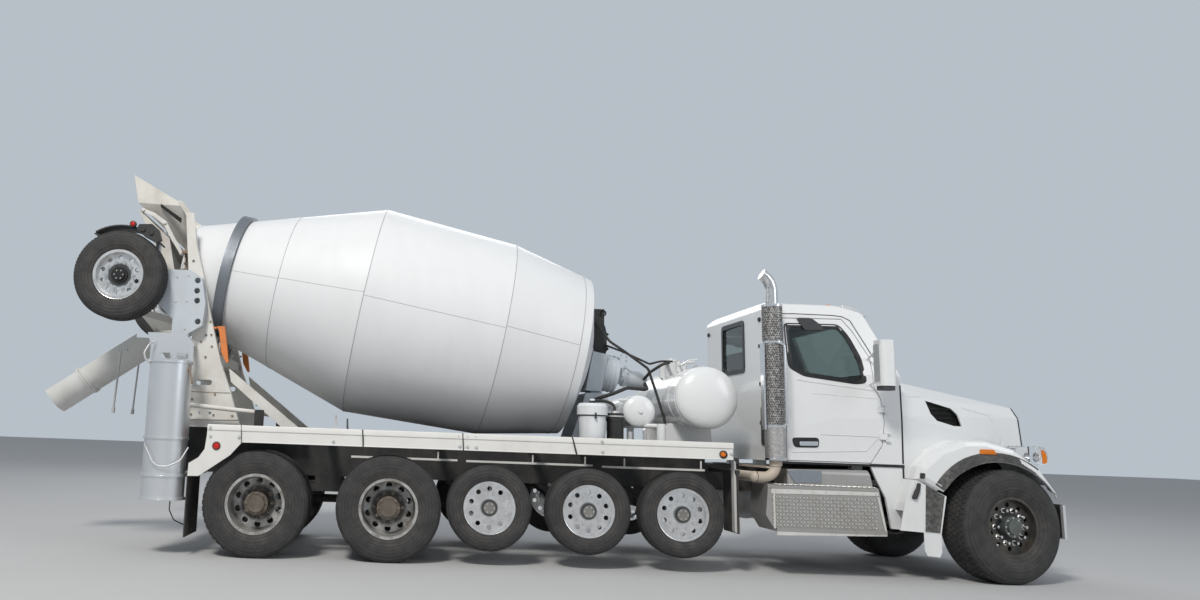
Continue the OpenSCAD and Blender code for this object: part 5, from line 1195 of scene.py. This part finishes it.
# The flare starts narrow in front and widens twice on its way to the rear
flare_edge = []
for degrees in FLARE:
    width = 22 + 48 * min(1, (degrees - 33) / 24) + 40 * min(1, max(0, (degrees - 57) / 60))
    flare_edge += arc(*ARCH, ARCH_RADIUS + width, [degrees])
for side, name in BOTH:
    bm = bmesh.new()
    add_ribbon(bm, "hood", flare_edge, arc(*ARCH, ARCH_RADIUS, FLARE), side, 6, 4)
    put(f"flare_{name}", bm, "flare_grey", body="hood", smooth=50)
    bm = bmesh.new()
    add_plate(bm, SPLASH_BAND, side, 1190, 1199)
    put(f"splash_band_{name}", bm, "flare_grey", 1)
    # The hood's creases, drawn greyer as painted shade
    for part, points in HOOD_CREASES.items():
        line_on(f"hood_crease_{part}_{name}", "hood", points, side, 7, "crease_shade_white", "hood", -4)
    # Black seal along the cab's front edge, where the hood closes
    bm = bmesh.new()
    for low, high in ((1150, 1760), (1760, 1960)):
        add_ribbon(bm, "cab_shell", [(6638, low), (6638, high)], [(6653, low), (6653, high)], side, 4, 3)
    add_plate(bm, [(6636, 1003), (6651, 1003), (6651, 1137), (6636, 1137)], side, 1036, 1044)
    put(f"hood_seam_{name}", bm, "seal_rubber")
    for part, (outline, radius, spot, under, over, finish) in ON_HOOD.items():
        bm = bmesh.new()
        flat = abs(skin("hood", *spot, side)[1])
        add_plate(bm, rounded(outline, radius), side, flat - under, flat + over)
        put(f"{part}_{name}", bm, finish, 4, "hood")
    bm = bmesh.new()
    for outline, radius, face in LATCH_FOOT:
        add_plate(bm, rounded(outline, radius), side, 1194, face)
    put(f"latch_foot_{name}", bm, "flap_rubber", 4)
    # A near-black plate behind the vent, with three blades, painted as the shade inside the vent
    bm = bmesh.new()
    behind, ahead = (abs(skin("hood", x, 1480, side)[1]) - VENT_DEPTH for x in (VENT_REAR, VENT_FRONT))
    taper = (behind - ahead) / (VENT_FRONT - VENT_REAR)
    for back in (0, 6):
        bm.faces.new([
            bm.verts.new(place(x, side * (behind - taper * (x - VENT_REAR) - back), z)) for x, z in VENT])
    front = behind - taper * (7400 - VENT_REAR)
    blade = [(7040, behind), (7400, front), (7400, front + 20), (7040, behind + 20)]
    for z in (1640, 1690, 1740):
        add_prism(bm, [(x, side * y) for x, y in blade], "z", z, z + 8)
    put(f"vent_backing_shade_{name}", bm, "opening_shade_black", body="hood")
    # Inside the headlamp pod: two bowls and an amber end piece
    bm = bmesh.new()
    for x, size in ((8085, 52), (7985, 44)):
        add_turned(bm, [(6, -28), (size, 22), (size - 4, 26), (2, -20)],
                   along(place(x, side * 905, 1268), (0.5, side, 0)), 32)
    put(f"lamp_bowls_{name}", bm, "chrome", body="hood")
    bm = bmesh.new()
    add_plate(bm, rounded(LAMP_AMBER, 8), side, 1002, 1013)
    put(f"lamp_amber_{name}", bm, "amber_glass", 2, "hood")
    # A black bracket on the bumper's rear face; its black is also the painted shade behind the bumper
    bm = bmesh.new()
    add_box(bm, (8254, 8282), (side * 800, side * 1035), (470, 795))
    put(f"bumper_bracket_{name}", bm, "black_paint", 3)
    # Pale flap ahead of the foremost pusher
    bm = bmesh.new()
    add_plate(bm, PALE_FLAP, side, 1090, 1165)
    put(f"pale_flap_{name}", bm, "flap_white", 2)
NOSE = [(8246, 0, 1846), (8246, 400, 1797), (8246, 506, 1680), (8246, 546, 1350), (8240, 548, 1080)]
tube_along("nose_edge", [(x, -y, z) for x, y, z in NOSE[:0:-1]] + NOSE, 7, "seal_rubber", 60, "hood")
# A near-black plate behind the grille, painted as the shade behind its bars
bm = bmesh.new()
add_box(bm, (8204, 8210), (-355, 355), (1005, 1695))
put("grille_backing_shade", bm, "opening_shade_black", body="hood")
print("hood, fenders, lamps and flaps")

# %% [markdown]
# Through the glass one sees a dark cab: seat backs, a wheel, and light from the far window. Cushions, a dash
# top and two yellow-sleeved rails at the pillars are enough to make it look used.

# %% Inside the cab
DASH = [(6300, 1880), (6420, 1955), (6600, 1962), (6600, 1985), (6410, 1985), (6285, 1900)]
cushions, dash = bmesh.new(), bmesh.new()
for y in (-520, 520):
    for outline, half in (([(5650, 1518), (6085, 1518), (6085, 1556), (5650, 1570)], 225),
                          ([(5560, 2160), (5612, 2160), (5580, 2400), (5530, 2400)], 130)):
        add_prism(cushions, rounded(outline, 20), "y", y - half, y + half)
put("seat_cushions", cushions, "seat_cloth", 12)
add_plate(dash, rounded(DASH, 12), 1, -890, 890)
for y in (380, 640):
    add_pin(dash, (6300, y, 1880), (-0.5, 0, 0.4), 46, 42, 16, 24)
add_box(dash, (6272, 6292), (-120, 160), (1600, 1800))
put("dash_top", dash, "inside_plastic", 6)
for side, name in BOTH:
    tube_along(f"pillar_grip_{name}", [
        (6290, side * 968, 2010), (6310, side * 950, 2100), (6270, side * 945, 2220),
        (6235, side * 950, 2260)], 14, "yellow_grip", 30)
print("cab interior")

# %% [markdown]
# Last, the size of the imported model and the size of all that is seen are given as the cell's value.

# %% Sizes of the model and of all that is seen


def corners(bounds):
    return [[round(v, 5) for v in corner] for corner in bounds]


{"cad": corners(cad_box), "visual": corners(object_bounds())}
